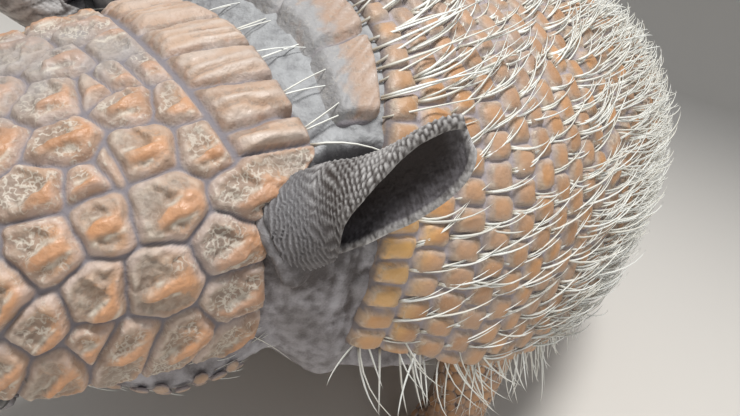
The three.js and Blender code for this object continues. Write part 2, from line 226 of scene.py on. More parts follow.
def carapace_point(y, degrees, depth=0.0):
    """Point of the carapace: y, degrees round from the top (positive left), depth under the surface."""
    aside, upward = rounded(degrees, SECTION_POWER)
    return joined((half_width(y) - depth) * aside, y, level(y) + (top(y) - depth - level(y)) * upward)


def turn_matrix(angle, axis):
    return np.array(Matrix.Rotation(math.radians(angle), 3, axis))


HEAD_TURN = turn_matrix(HEAD_YAW, "Z") @ turn_matrix(HEAD_PITCH, "X")


def rolled(local, degrees):
    """The head's frame rolled about its long axis and looked at from the other end of y."""
    roll = math.radians(degrees)
    left, forward, up = local[..., 0], local[..., 1], local[..., 2] - HEAD_ROLL_AXIS
    across = math.cos(roll) * left - math.sin(roll) * up
    return joined(across, -forward, math.sin(roll) * left + math.cos(roll) * up + HEAD_ROLL_AXIS)


def from_head(local):
    """From the head's own frame (left, forward, up) to the animal's."""
    return rolled(local, HEAD_ROLL) @ HEAD_TURN.T + HEAD_ORIGIN


def to_head(points):
    """From the animal's frame to the head's own."""
    return rolled((points - HEAD_ORIGIN) @ HEAD_TURN, -HEAD_ROLL)


def head_local(forward, degrees, depth=0.0):
    """Point of the head in its own frame: distance ahead of the crown, degrees round, depth under it."""
    aside, upward = rounded(degrees, HEAD_POWER)
    above = head_top(forward) - depth - head_level(forward)
    below = head_level(forward) - head_under(forward) - depth
    rise = np.where(upward > 0, above, below)
    return joined((head_half_width(forward) - depth) * aside, forward, head_level(forward) + rise * upward)


def head_point(forward, degrees, depth=0.0):
    return from_head(head_local(forward, degrees, depth))


def arc_table(point, stations, farthest=130):
    """Function of (station, degrees) that gives the girth from the midline, in millimetres."""
    degrees = np.arange(0, farthest + 1.0)
    rings = point(stations[:, None], degrees[None, :])
    steps = norm(np.diff(rings, axis=1), axis=-1)
    table = np.concatenate([np.zeros((len(stations), 1)), np.cumsum(steps, 1)], 1)
    spacing = stations[1] - stations[0]

    def at(station, angle):
        row = np.clip((station - stations[0]) / spacing, 0, len(stations) - 1.001)
        column = np.clip(np.abs(angle), 0, farthest - 0.001)
        i, j = row.astype(int), column.astype(int)
        u, v = row - i, column - j
        inner = mix(table[i, j], table[i, j + 1], v)
        outer = mix(table[i + 1, j], table[i + 1, j + 1], v)
        return np.sign(angle) * mix(inner, outer, u)

    return at


carapace_arc = arc_table(carapace_point, np.arange(-156, 159, 2.0))
head_arc = arc_table(head_point, np.arange(-28, 114, 2.0))

shield_rear = curve([(0, -20), (34, -16), (56, -14.5), (64, -8), (74, 0), (84, 3), (108, 8)])
shield_margin = curve(
    [(0, 111), (12, 112), (27, 108), (40, 102), (50, 91), (60, 88), (75, 86), (92, 80)]
)


def scapular_front(degrees):
    return -152 + 27 * bell(degrees, 42)


# ---------------- meshes from arrays
def to_part(points):
    """Animal millimetres to metres in the part's frame."""
    return (points + np.array([0, BODY_SLIDE, 0])) * MM


def closed_volume(mesh):
    """Volume inside a closed mesh; it is negative when the faces point inwards."""
    shape = bmesh.new()
    shape.from_mesh(mesh)
    volume = shape.calc_volume(signed=True)
    shape.free()
    return volume


def place_in_scene(name, data):
    made = bpy.data.objects.new(name, data)
    bpy.context.scene.collection.objects.link(made)
    return made


def set_values(piece, masks):
    """Puts named values on a piece's points, for its material to read."""
    for key, values in masks.items():
        layer = piece.data.attributes.new(key, "FLOAT", "POINT")
        layer.data.foreach_set("value", np.asarray(values, np.float32).ravel())


def new_piece(name, points, faces, masks=None):
    """A smooth-shaded object from points in animal millimetres, with named values at its points."""
    mesh = bpy.data.meshes.new(name)
    mesh.from_pydata(to_part(np.asarray(points)).tolist(), [], faces)
    mesh.update()
    if closed_volume(mesh) < 0:
        mesh.flip_normals()
    mesh.shade_smooth()
    piece = place_in_scene(name, mesh)
    set_values(piece, masks or {})
    return piece


def turned_away(normals, inside_out):
    """Normals turned round where they point against inside_out, the way from the inside to the surface."""
    return normals * np.sign((normals * inside_out).sum(-1, keepdims=True))


def grid_normals(points):
    along = np.gradient(points, axis=0)
    across = np.gradient(points, axis=1)
    return unit(np.cross(along, across))


def sheet_faces(rows, cols, start=0, flip=False):
    index = start + np.arange(rows * cols).reshape(rows, cols)
    quads = joined(index[:-1, :-1], index[:-1, 1:], index[1:, 1:], index[1:, :-1]).reshape(-1, 4)
    return (quads[:, ::-1] if flip else quads).tolist()


COARSE = 4  # the hidden inner face of a plate has this many times fewer rows and columns


def zip_faces(fine, coarse, flip):
    """Triangles that join a fine row of points to one COARSE times coarser."""
    faces = []
    for j in range(len(coarse) - 1):
        for k in range(COARSE):
            near = coarse[j] if k < COARSE / 2 else coarse[j + 1]
            faces.append((fine[j * COARSE + k], fine[j * COARSE + k + 1], near))
        middle = fine[j * COARSE + COARSE // 2]
        faces.append((middle, coarse[j + 1], coarse[j]))
    return [face[::-1] for face in faces] if flip else faces


def plate_piece(name, outer, inner, attributes):
    """A closed plate: a fine outer face, a coarse inner face and a rim. Grids are rows x cols x 3."""
    rows, cols = outer.shape[:2]
    inner = inner[::COARSE, ::COARSE]
    few_rows, few_cols = inner.shape[:2]
    faces = sheet_faces(rows, cols)
    faces += sheet_faces(few_rows, few_cols, rows * cols, flip=True)
    fine = np.arange(rows * cols).reshape(rows, cols)
    few = rows * cols + np.arange(few_rows * few_cols).reshape(few_rows, few_cols)
    faces += zip_faces(fine[0], few[0], True) + zip_faces(fine[-1], few[-1], False)
    faces += zip_faces(fine[:, 0], few[:, 0], False) + zip_faces(fine[:, -1], few[:, -1], True)
    points = np.concatenate([outer.reshape(-1, 3), inner.reshape(-1, 3)])
    padded = {
        key: np.concatenate([values.ravel(), np.zeros(few_rows * few_cols)])
        for key, values in attributes.items()
    }
    return new_piece(name, points, faces, padded)


def steps_between(start, end, spacing):
    """Even steps of about that spacing, in a number that the coarse inner face divides."""
    count = max(1, round((end - start) / spacing / COARSE)) * COARSE
    return np.linspace(start, end, count + 1)


def joined_steps(*stretches):
    parts = [steps_between(*stretch) for stretch in stretches]
    return np.concatenate([parts[0], *[part[1:] for part in parts[1:]]])


# ---------------- scutes of the head shield
# Middles of the scutes: distance ahead of the crown, degrees round from the top, and how much larger (square
# millimetres) the scute grows than its place between its neighbours would give it.
OCCIPITAL_SCUTES = [
    (-11, -50, 0), (-11, -36, 0), (-12, -22, 0), (-12.3, -8.1, 0), (-12.3, 3.2, 0), (-11.2, 16.6, 0),
    (-9.7, 32.4, 0), (-9.7, 48.2, 0),
]
CROWN_SCUTES = [
    (0.4, 58.3, 0), (7.2, 71.2, 0), (9.3, 88.4, 0), (12, 103, -9), (3, 41, 0), (1.9, 23.8, 0),
    (1.4, 10, -3), (3, -0.4, 0), (6.2, -9, 0), (7.7, 10.8, -4), (9.3, 19.5, 0), (12, 11.7, -5),
    (12, 35.8, 6), (13, 52.2, 10), (18.8, 73.8, 10), (18.8, 10, 4), (21.4, 24.6, 0), (22, 38, -9),
    (16, 36, -12), (22.5, 50, 0), (28.8, 71.2, 0), (31.5, 52.2, 6), (37.8, 74.6, 0), (20.4, 92.7, 0),
    (28.5, 90, 0), (33.6, 85.8, -6), (39.4, 89.3, 0),
    (14, 0, 0), (19, -8, 0), (28, 2, 0), (31, 17, 0), (28, 35, 0), (40, 8, 0), (41, 26, 0), (42, 44, 0),
    (40, 60, 0), (46, 84, 0),
]
FACE_ROWS = 8  # smaller scutes down the nose


def face_scutes():
    rows = []
    for row in range(FACE_ROWS):
        forward = 50 + 5.6 * row
        count = 7 - row // 2
        for k in range(count):
            angle = ((k + 0.5 * (row % 2)) / count * 2 - 1) * 80 + 80 / count
            rows.append((forward + 1.2 * math.sin(3.1 * k + row), angle, 0))
    return rows


def head_seeds():
    left = [seed for seed in CROWN_SCUTES if seed[1] > 18]
    mirrored = [(v + 1.3 * math.sin(a), -a - 1.5, size) for v, a, size in left]
    front = np.array(CROWN_SCUTES + mirrored + face_scutes(), float)
    rear = np.array(OCCIPITAL_SCUTES, float)
    return front, rear


def cells(points, seeds, sizes, rounding):
    """Nearest seed of each point, and the distance in from the border of its cell, corners rounded."""
    square = ((points[:, None, :] - seeds[None]) ** 2).sum(-1) - sizes
    nearest = square.argmin(1)
    own = np.take_along_axis(square, nearest[:, None], 1)
    apart = norm(seeds[nearest][:, None] - seeds[None], axis=-1)
    border = np.where(apart > 0, (square - own) / (2 * np.maximum(apart, 1e-6)), 99)
    smallest = np.sort(border, axis=1)[:, :4]
    return nearest, -rounding * np.log(np.exp(-smallest / rounding).sum(1))


GROOVE_BEND = 47  # degrees round from the top at which the groove turns rearward


def groove_line(degrees):
    """Where the smooth groove across the back of the crown runs, ahead of the crown."""
    return -1 - np.clip(np.abs(degrees) - GROOVE_BEND, 0, 20) * 2.2


def streaks(lengthwise, across, seed):
    """Straight fore-and-aft ridges, -1 to 1, and a mask of the narrow broken furrows between them."""
    flat = joined(lengthwise / 13, across / 5)
    wave = np.cos(2 * np.pi * (across / 3.3 + 0.75 * lumps(flat, 1.0, seed, 2)))
    broken = limited(0.45 + 0.9 * lumps(flat * np.array([2.2, 1.6]), 1.0, seed + 100))
    return wave * (0.4 + 0.6 * broken), ramp(-0.55, -0.95, wave) * broken


def from_ray(away, apex, direction):
    """Distance along and to the side of rays that start at apex, all measured from the scutes' middles."""
    start = away - apex
    aim = joined(np.cos(direction), np.sin(direction))
    return (start * aim).sum(-1), start[:, 1] * aim[:, 0] - start[:, 0] * aim[:, 1]


def polished_ridge(along, aside, length, half):
    """1 on the crest of a ridge that narrows towards its far end, 0 beside it."""
    width = half * (1.1 - 0.45 * limited(along / length))
    ends = ramp(-1.6, 0.2, along) * ramp(length + 0.8, length - 1.4, along)
    return ramp(1.25, 0.45, np.abs(aside) / width) * ends


JOINT_CORNER = 0.35  # how far the joints round off the scutes' corners
JOINT_DEPTH = 1.5
FACE_RISE = 0.3
RIDGE_RISE = 1.05
BOWL_DEPTH = 0.75
MARGIN_DROP = 3.4
# a scute's two polished ridges: direction and how far that varies, length, half width
MAIN_RIDGE = (0.12, 0.5, 7.0, 1.15)
SECOND_RIDGE = (-1.1, 0.4, 9.5, 0.85)


def head_cells(warped, in_rear):
    """Each point's scute, the distance in from its border, and its middle."""
    own, border, centre = np.zeros(len(warped), int), np.zeros(len(warped)), np.zeros_like(warped)
    for behind, seeds in enumerate(head_seeds()):
        zone = in_rear == behind
        middle = joined(seeds[:, 0], head_arc(seeds[:, 0], seeds[:, 1]))
        own[zone], border[zone] = cells(warped[zone], middle, seeds[:, 2], JOINT_CORNER)
        centre[zone] = middle[own[zone]]
        own[zone] += 1000 * behind
    return own, border, centre


def head_ridges(flat, away, ragged, inside, randoms):
    """Two polished ridges that open forwards from the hind outer corner of each scute.

    Gives the distances along and aside from the first, how near a crest is, and the strips beside the first.
    """
    random, random_b, random_c = randoms
    apex = joined(-3.6 - 0.8 * random, 1.6 + 1.2 * (random_b - 0.5))
    turn, turn_spread, length, half = MAIN_RIDGE
    along, aside = from_ray(away, apex, turn + turn_spread * (random_b - 0.5))
    main = polished_ridge(along, aside + ragged, length + 2 * random, half + 0.6 * random_c)
    turn, turn_spread, length, half = SECOND_RIDGE
    other_along, other_aside = from_ray(away, apex, turn + turn_spread * (random_c - 0.5))
    other = polished_ridge(other_along, other_aside + ragged, length, half) * (0.35 + 0.5 * random_b)
    clear = ramp(0.3, 1.7, inside)
    ridge = np.maximum(main * clear, other * clear)
    corner = ramp(4.4, 1.2, np.hypot(along, aside)) * ramp(0.4, 1.3, inside)
    ridge = np.maximum(ridge, 0.8 * corner) * (0.8 + 0.2 * lumps(flat, 1.9, 17, 2))
    beside = bell(np.abs(aside + ragged) - 1.55, 0.36) * ramp(0, 1.5, along)
    return along, aside, ridge, beside * ramp(9, 6, along) * (1 - other) * clear


def head_relief(forward, degrees):
    """Height over the shield's face in millimetres, and the masks that colour it."""
    arc = head_arc(forward, degrees)
    flat = joined(forward, arc).reshape(-1, 2)
    warped = flat + 0.5 * joined(lumps(flat, 3.2, 1, 2), lumps(flat, 3.2, 2, 2))
    line = groove_line(degrees).ravel()
    in_rear = flat[:, 0] < line
    own, border, centre = head_cells(warped, in_rear)
    slant = np.where(np.abs(degrees.ravel()) > GROOVE_BEND, 0.5, 1)
    groove = np.abs(flat[:, 0] - line) * slant - 0.35
    margin = head_border(forward, degrees).ravel()
    nearest = sum(np.exp(-edge / JOINT_CORNER) for edge in (border, np.maximum(groove, 0), margin))
    inside = -JOINT_CORNER * np.log(nearest)
    randoms = [hashed(own[:, None], seed) for seed in (5, 9, 13)]
    random, random_b, _ = randoms
    outward = np.where(centre[:, 1] >= 0, 1.0, -1.0)
    away = (warped - centre) * joined(np.ones(len(flat)), outward)
    ragged = 0.45 * lumps(flat, 2.6, 3, 3)
    along, aside, ridge, beside = head_ridges(flat, away, ragged, inside, randoms)
    flaky = ramp(0.0, 0.5, lumps(flat, 1.5, 15, 2) + 0.25)

    swell, furrow = streaks(flat[:, 0], flat[:, 1] + 3 * random, 11)
    furrow = furrow * ramp(0.6, 1.8, inside)
    ridge = np.where(in_rear, 0.55 + 0.35 * swell, ridge)

    grain = lumps(flat, 1.5, 4, 3)
    rough = lumps(flat, 1.25, 6, 2)
    crumbs = np.abs(lumps(flat, 1.9, 18, 3)) * 2.6 - 0.6
    plateau = ramp(0.0, 1.15, inside) * (0.7 + 0.3 * ramp(0.6, 3.6, inside))
    bowl = ramp(1.1, 3.0, inside) * (1 - ridge)
    fan = np.abs(aside + 1.5 * ragged) / (1.2 + 2.2 * ramp(6.5, -0.5, along))
    glow = ramp(1.15, 0.35, fan) * ramp(-2.6, 0.2, along) * ramp(9.5, 4.5, along)
    glow = glow * ramp(0.5, 1.6, inside) * (0.65 + 0.35 * random_b)
    height = -JOINT_DEPTH * (1 - plateau) + FACE_RISE * plateau
    domed = 0.19 * swell - 0.26 * furrow + 1.2 * ramp(0, 3.8, inside) - 0.7
    height += np.where(in_rear, domed, RIDGE_RISE * ridge - BOWL_DEPTH * bowl) * plateau
    height -= np.where(in_rear, 2.6 * ramp(1.3, 0.0, border) * ramp(5.5, 0.5, margin), 0)
    crusty = np.where(in_rear, 0.3, 1 - 0.75 * ridge)
    hindward = (away @ np.array([-0.8, 0.6])) / np.maximum(norm(away, axis=1), 0.5)
    warm_rim = ramp(3.2, 1.4, inside) * ramp(-0.1, 0.8, hindward)
    height += (0.16 * grain + (0.22 * rough + 0.34 * crumbs) * crusty + 0.25 * beside * flaky) * plateau
    height -= MARGIN_DROP * (1 - ramp(-0.2, 1.0, margin))
    dusty = ramp(26, 8, np.abs(flat[:, 1] + 3)) * ramp(-3, 3, flat[:, 0] - line)
    masks = {
        "edge": ramp(0.05, 0.6, inside),
        "rim": ramp(2.0, 0.7, inside),
        "ridge": np.where(in_rear, 0.8 * ridge, limited(0.45 * ridge + 0.55 * glow + 0.2 * grain)),
        "warm": np.where(in_rear, 0, np.maximum(ramp(8, 2, np.hypot(along - 1, aside)), warm_rim)),
        # pit: on the occipital scutes, their furrows and edges, where the material paints shade; in front,
        # the bowls
        "pit": np.where(in_rear, 0.7 * furrow + 0.8 * ramp(2.2, 0.8, inside), bowl),
        "flake": np.where(in_rear, 0, beside * flaky),
        # crumb: the fine relief's tops, which the material paints as highlights, with painted shade in the
        # lows
        "crumb": ramp(-0.5, 0.8, 0.6 * rough + 0.5 * crumbs),
        "tone": limited(0.6 * random + 0.4 * ramp(-0.6, 0.6, lumps(flat, 7, 8))),
        "dust": limited(dusty * 0.85 + 0.35 * lumps(flat, 9, 16, 2)),
        "kind": in_rear.astype(float),
    }
    shape = forward.shape
    return height.reshape(shape), {key: value.reshape(shape) for key, value in masks.items()}


def head_border(forward, degrees):
    """Distance in from the shield's margins, in millimetres."""
    behind = forward - shield_rear(np.abs(degrees)) + 1.0
    below = (shield_margin(forward) + 1.5 - np.abs(degrees)) * 0.68
    ahead = SHIELD_FRONT - 8 * (degrees / 80) ** 2 - forward + 0.5
    return np.minimum(np.minimum(behind, below), ahead)


def raised(points, height, normals):
    return points + normals * height[..., None]


# stretches of the head shield's mesh, from and to, and the spacing of its points there: as shares of its
# length, then as millimetres round its widest section, finer on the left
SHIELD_LENGTHWISE = [(0, 0.62, 0.0035), (0.62, 1, 0.009)]
SHIELD_CROSSWISE = [(-76, -26, 0.95), (-26, 77, 0.35)]
WIDEST_FORWARD = 12.0
WIDEST_DEGREES = 112
HEAD_SHEET = 3.2  # thickness of the head shield, the carapace and the nuchal band
BODY_SHEET = 3.4
NUCHAL_SHEET = 2.9


def head_shield_piece():
    """The closed shield of large scutes on the head."""
    forward_parts = joined_steps(*SHIELD_LENGTHWISE)
    whole = np.arange(WIDEST_DEGREES + 1.0)
    arc_at_widest = head_arc(np.full_like(whole, WIDEST_FORWARD), whole)
    arcs = joined_steps(*SHIELD_CROSSWISE)
    side = np.sign(arcs) * np.interp(np.abs(arcs), arc_at_widest, whole) / WIDEST_DEGREES
    part, side = np.meshgrid(forward_parts, side, indexing="ij")
    behind = shield_rear(np.abs(side) * 108) - 1
    forward = mix(behind, SHIELD_FRONT + 0.5 - 8 * side**2, part)
    angle = side * (shield_margin(forward) + 1.5)
    base = head_point(forward, angle)
    normals = grid_normals(base)
    height, masks = head_relief(forward, angle)
    inner = base - HEAD_SHEET * normals
    return plate_piece("head_shield_scutes", raised(base, height, normals), inner, masks)


# ---------------- scutes of the body
def tiles(along, across, brick):
    """Rows of scutes, each shifted by brick: the scute's number, and the place in it, -0.5 to 0.5."""
    row = np.floor(along)
    shifted = across + (row % 2) * brick
    column = np.floor(shifted)
    return joined(row, column), along - row - 0.5, shifted - column - 0.5


def wander(flat, amount, size, seed):
    return amount * lumps(flat, size, seed, 2)


def girth(y):
    """Length of the carapace's section from the midline to the margin."""
    return carapace_arc(y, margin_angle(y))


SHOULDER_ROWS = 10
SHOULDER_COLUMNS = 18  # from the midline to each margin
SHOULDER_BRICK = 0.5
SHOULDER_MARGIN_ANGLE = 104.0
SHOULDER_LENGTH = 78.0  # of the shield at its sides
SHOULDER_SPACING = 0.62  # between the mesh's points


def shoulder_relief(y, degrees):
    """Rounded squares in offset rows that follow the shield's front margin."""
    front = scapular_front(degrees)
    arc = carapace_arc(y, degrees)
    flat = joined(y, arc)
    along = (y - front) / (SCAPULAR_REAR - front) * SHOULDER_ROWS + wander(flat, 0.09, 5, 21)
    width = girth(y) / SHOULDER_COLUMNS
    across = arc / width + wander(flat, 0.09, 4, 22)
    cell, fore, side = tiles(along, across, SHOULDER_BRICK)
    row_depth = (SCAPULAR_REAR - front) / SHOULDER_ROWS
    inside = rounded_inside((0.5 - np.abs(fore)) * row_depth, (0.5 - np.abs(side)) * width, 1.7)
    height, masks = scute_masks(flat, cell, fore, side, inside, groove=0.5, depth=1.0, seed=24)
    flank = ramp(66, 74, np.abs(degrees)) * ramp(98, 92, np.abs(degrees))
    masks["bright"] = ramp(1.7, 0.9, along) * (0.1 + 0.75 * flank * hashed(cell, 27))
    masks["margin"] = ramp(0.5, 0.15, along)
    masks["dust"] = limited(masks["dust"] + 0.5 * ramp(48, 20, np.abs(degrees)))
    return height, masks


def rounded_inside(to_end, to_side, corner):
    inside = np.minimum(to_end, to_side)
    rounded = corner - np.hypot(np.clip(corner - to_end, 0, None), np.clip(corner - to_side, 0, None))
    return np.where(inside < corner, np.minimum(rounded, inside), inside)


def scute_masks(flat, cell, fore, side, inside, groove, depth, seed, figure=0.0):
    """Height and colour masks of plain body scutes; figure adds the long raised middle of a band's scute."""
    random = hashed(cell, seed)
    grain = lumps(flat, 1.8, seed + 1, 3)
    plateau = ramp(groove * 0.2, groove * 0.2 + 1.0, inside)
    radius = np.hypot(fore, side) / 0.5 + 0.12 * grain
    boss = limited(1 - radius**2)
    ring = bell(radius - 0.62 - 0.1 * random, 0.13) * (0.3 + 0.7 * hashed(cell, seed + 7))
    width = 0.16 + 0.10 * (fore + 0.5)
    long_boss = bell(side, width) * ramp(-0.45, -0.2, fore)
    furrow = bell(np.abs(side) - width - 0.14, 0.06) * ramp(-0.35, 0, fore)
    step = ramp(-0.28, -0.16, fore + 0.05 * grain)
    domed = (0.55 * boss - 0.3 * ring) * (1 - figure)
    height = -depth * (1 - plateau) + plateau * (0.1 + domed + 0.24 * grain)
    height += plateau * (0.15 * step * figure + figure * (0.45 * long_boss - 0.35 * furrow))
    ridge = limited((1 - figure) * boss**0.7 + figure * long_boss * step) * plateau
    dents = (1 - figure) * ring + figure * furrow + (1 - ridge) * ramp(0.1, -0.5, grain)
    masks = {
        "edge": ramp(groove * 0.15, groove * 0.15 + 0.6, inside),
        "rim": ramp(1.7, 0.7, inside),
        "ridge": ridge,
        "pit": plateau * limited(dents),
        "flake": ramp(0.35, 0.6, lumps(flat, 1.6, seed + 3, 2)) * plateau * (1 - ridge),
        # crumb: the fine relief's tops, which the material paints as highlights, with painted shade in the
        # lows
        "crumb": ramp(-0.6, 0.6, grain),
        "tone": random,
        "dust": limited(0.25 + 0.5 * lumps(flat, 11, seed + 5, 2)),
        "kind": np.zeros_like(height),
    }
    return height, masks


def strip_columns(y, spacing):
    """Even steps of girth from margin to margin, as shares of the margin angle."""
    margin = float(margin_angle(y))
    degrees = np.linspace(0, margin, 200)
    arc = carapace_arc(np.full(200, float(y)), degrees)
    arcs = steps_between(-arc[-1], arc[-1], spacing)
    return np.sign(arcs) * np.interp(np.abs(arcs), arc, degrees) / margin


def carapace_piece(name, shares, parts, front, rear, relief, sink):
    """A plate of the carapace between two margins, given as functions of the side share."""
    part, side = np.meshgrid(parts, shares, indexing="ij")
    y = mix(front(side), rear(side), part)
    degrees = side * margin_angle(y)
    base = carapace_point(y, degrees)
    normals = -grid_normals(base)
    height, masks = relief(y, degrees)
    arc = carapace_arc(y, degrees)
    ends = np.minimum(y - front(side), rear(side) - y)
    sides = carapace_arc(y, margin_angle(y)) - np.abs(arc)
    border = np.minimum(ends + 0.3, sides + 0.3)
    height = height - sink * (1 - ramp(0, 1.1, border))
    return plate_piece(name, raised(base, height, normals), base - BODY_SHEET * normals, masks)


def scapular_piece():
    return carapace_piece(
        "scapular_scutes",
        strip_columns(-100, SHOULDER_SPACING),
        steps_between(0, 1, SHOULDER_SPACING / SHOULDER_LENGTH),
        lambda side: scapular_front(side * SHOULDER_MARGIN_ANGLE),
        lambda side: np.full_like(side, SCAPULAR_REAR),
        shoulder_relief,
        sink=2.6,
    )


BAND_SCUTE = 8.4  # width of a band's scute
BAND_SPACING = 1.0
BAND_STEPS = 16


def band_relief(front, rear):
    """Long scutes side by side; the front of the band is its smooth hinge."""
    def relief(y, degrees):
        arc = carapace_arc(y, degrees)
        flat = joined(y, arc)
        share = (y - front) / (rear - front)
        across = (arc + wander(flat, 0.3, 5, 31)) / BAND_SCUTE
        column = np.floor(across)
        side = across - column - 0.5
        cell = joined(float(round(front)), column)
        inside = rounded_inside((1.12 - share) * BAND_WIDTH, (0.5 - np.abs(side)) * BAND_SCUTE, 1.6)
        height, masks = scute_masks(flat, cell, share - 0.5, side, inside, 0.7, 0.8, seed=32, figure=1.0)
        hinge = ramp(0.30, 0.12, share)
        height = height * (1 - hinge) - 1.7 * ramp(0.34, 0.0, share)
        masks["edge"] = masks["edge"] * (1 - hinge)
        return height, masks

    return relief


def band_piece(number):
    front = SCAPULAR_REAR + BAND_WIDTH * (number - 1)
    rear = front + BAND_WIDTH
    return carapace_piece(
        f"band_{number}_scutes",
        strip_columns((front + rear) / 2, BAND_SPACING),
        steps_between(0, 1, 1 / BAND_STEPS),
        lambda side: np.full_like(side, front),
        lambda side: np.full_like(side, rear),
        band_relief(front, rear),
        sink=1.6,
    )


PELVIC_ROWS = 15
PELVIC_COLUMNS = 19
PELVIC_MARGIN_ANGLE = 106.0
PELVIC_LENGTH = 150.0  # over its curve, from front to rear
PELVIC_SPACING = 0.95


def pelvic_relief(y, degrees):
    arc = carapace_arc(y, degrees)
    flat = joined(y, arc)
    length = (PELVIC_REAR - BANDS_REAR) / PELVIC_ROWS
    side_share = degrees / PELVIC_MARGIN_ANGLE
    along = (y - BANDS_REAR + 5 * side_share**2 * ramp(60, 157, y)) / length + wander(flat, 0.05, 6, 41)
    width = girth(y) / PELVIC_COLUMNS
    across = arc / width + wander(flat, 0.06, 5, 42)
    cell, fore, side = tiles(along, across, 0.5)
    inside = rounded_inside((0.5 - np.abs(fore)) * length, (0.5 - np.abs(side)) * width, 2.2)
    return scute_masks(flat, cell, fore, side, inside, groove=0.8, depth=1.0, seed=44, figure=0.6)


def pelvic_piece():
    return carapace_piece(
        "pelvic_scutes",
        strip_columns(60, PELVIC_SPACING),
        steps_between(0, 1, PELVIC_SPACING / PELVIC_LENGTH),
        lambda side: np.full_like(side, BANDS_REAR),
        lambda side: PELVIC_REAR - 8 * side**2,
        pelvic_relief,
        sink=2.6,
    )


NUCHAL_SCUTES = 5
NUCHAL_HALF_ANGLE = 48.0
NUCHAL_SPACING = (0.035, 0.0125)  # of its mesh's points, as shares of its length and its half width
NUCHAL_REACH = (0.29, 0.95)  # where it starts and ends between the head shield and the shoulder


def nuchal_piece():
    """The single row of oblong scutes across the nape."""
    lengthwise, crosswise = NUCHAL_SPACING
    parts, sides = steps_between(0, 1, lengthwise), steps_between(-1, 1, crosswise)
    part, side = np.meshgrid(parts, sides, indexing="ij")
    degrees = side * NUCHAL_HALF_ANGLE
    base = nape_point(mix(*NUCHAL_REACH, part), degrees)
    front, rear = nape_point(0 * part, degrees), nape_point(0 * part + 1, degrees)
    normals = -grid_normals(base)
    steps = norm(np.diff(base, axis=1), axis=-1)
    arc = np.concatenate([np.zeros((len(base), 1)), np.cumsum(steps, 1)], 1)
    arc -= arc[:, arc.shape[1] // 2, None]
    depth = norm(rear - front, axis=-1) * (NUCHAL_REACH[1] - NUCHAL_REACH[0])
    flat = joined(part * 12, arc)
    width = (arc[:, -1:] - arc[:, :1]) / NUCHAL_SCUTES
    across = arc + wander(flat, 0.5, 6, 51)
    column = np.clip(np.floor(across / width + 0.5), -(NUCHAL_SCUTES // 2), NUCHAL_SCUTES // 2)
    sideways = across / width - column
    to_end = (NUCHAL_HALF_ANGLE - np.abs(degrees)) * 0.9
    to_side = np.minimum((0.5 - np.abs(sideways)) * width, to_end)
    inside = rounded_inside((1 - part) * depth, to_side, 3.2)
    random = hashed(column[..., None], 53)
    swell, furrow = streaks(part * 12, across + 4 * random, 52)
    furrow = furrow * ramp(0.6, 1.8, inside)
    plateau = ramp(0.2, 2.0, inside)
    grain = lumps(flat, 1.6, 54, 3)
    rise = ramp(0.0, 0.26, part)
    ending = ramp(1.0, -0.4, to_end)
    notch = ramp(1.4, 0.0, inside) * ramp(4.5, 0.5, (1 - part) * depth)
    height = plateau * rise * (0.18 * swell - 0.25 * furrow + 0.16 * grain + 0.8) - 1.2 * (1 - plateau)
    height -= 2.7 * (1 - rise) + 1.8 * notch + 2.6 * ending
    masks = {
        "edge": ramp(0.0, 0.6, inside),
        "rim": ramp(2.0, 0.75, inside),
        "ridge": limited(0.55 + 0.45 * swell) * ramp(0.35, 0.9, part + 0.15 * grain),
        # pit: the furrows and edges, where the material paints shade
        "pit": limited(0.6 * furrow + 0.5 * ramp(2.2, 0.8, inside)),
        "flake": np.zeros_like(height),
        "crumb": ramp(-0.6, 0.6, grain),
        "tone": random,
        "dust": 1.9 * ramp(0.62, 0.22, part + 0.15 * grain) + 0.2,
        "kind": np.ones_like(height),
    }
    inner = base - NUCHAL_SHEET * normals
    return plate_piece("nuchal_scutes", raised(base, height, normals), inner, masks)


# ---------------- ears
EAR_LENGTH = 31.5
EAR_SHEET = 1.6
EAR_ROOT = -0.16
EAR_HIND_RIM = 340.0
EAR_GIRTH = 44.0
EAR_ROOT_SIDES = 40
EAR_ROOT_SPAN = (-0.24, 0.1)
GRANULE_LENGTH = 0.82
GRANULE_WIDTH = 1.15
EAR_SPACING = {1: 0.4, -1: 0.8}  # between the points of the left ear's mesh and of the right's
RIM_GAP = 0.00002  # metres between the ear's faces at its rim, where they merge
# part of the length, middle of the section, half width, half depth, angle of the front rim
EAR_SECTIONS = [
    (-0.2, 1, 8.5, 7, -10),
    (0.05, 1.2, 8.5, 7, 5),
    (0.23, 1.4, 8.4, 6.8, 67),
    (0.38, 1.7, 7.6, 6.4, 92),
    (0.5, 1.7, 7.4, 6, 110),
    (0.63, 1.2, 7.2, 5.5, 128),
    (0.75, 0.5, 7, 5, 138),
    (0.88, -0.5, 6.2, 4, 138),
    (0.96, -1.5, 4.8, 3, 130),
    (1, -2.6, 3, 2.4, 118),
]
ear_middle, ear_half_width, ear_half_depth, ear_front_rim = columns(EAR_SECTIONS)
# side: root on the head, direction of the length, direction across the opening, how widely it is spread,
# and which way its hollow faces
EARS = {
    1: (head_local(-7.5, 74), (0.506, -0.797, 0.33), (0.704, 0.154, -0.693), 1.0, 1),
    -1: (head_local(-2.0, 70), (-0.08, 0.64, 0.76), (0.8, 0.4, -0.3), 0.72, -1),
}


def ear_point(side, t, angle, depth):
    """Point of an ear: part of its length, degrees round its section, depth under its outer face."""
    root, along, across, spread_out, facing = EARS[side]
    along = unit(np.array(along))
    across = np.array(across)
    across = unit(across - along * across.dot(along))
    outward = np.cross(along, across) * facing
    angle = np.radians(angle)
    sideways = ear_middle(t) + (ear_half_width(t) * spread_out - depth) * np.cos(angle)
    away = (ear_half_depth(t) * spread_out - depth) * np.sin(angle)
    local = root + EAR_LENGTH * t[..., None] * along + sideways[..., None] * across
    return from_head((local + away[..., None] * outward) * np.array([side, 1, 1]))


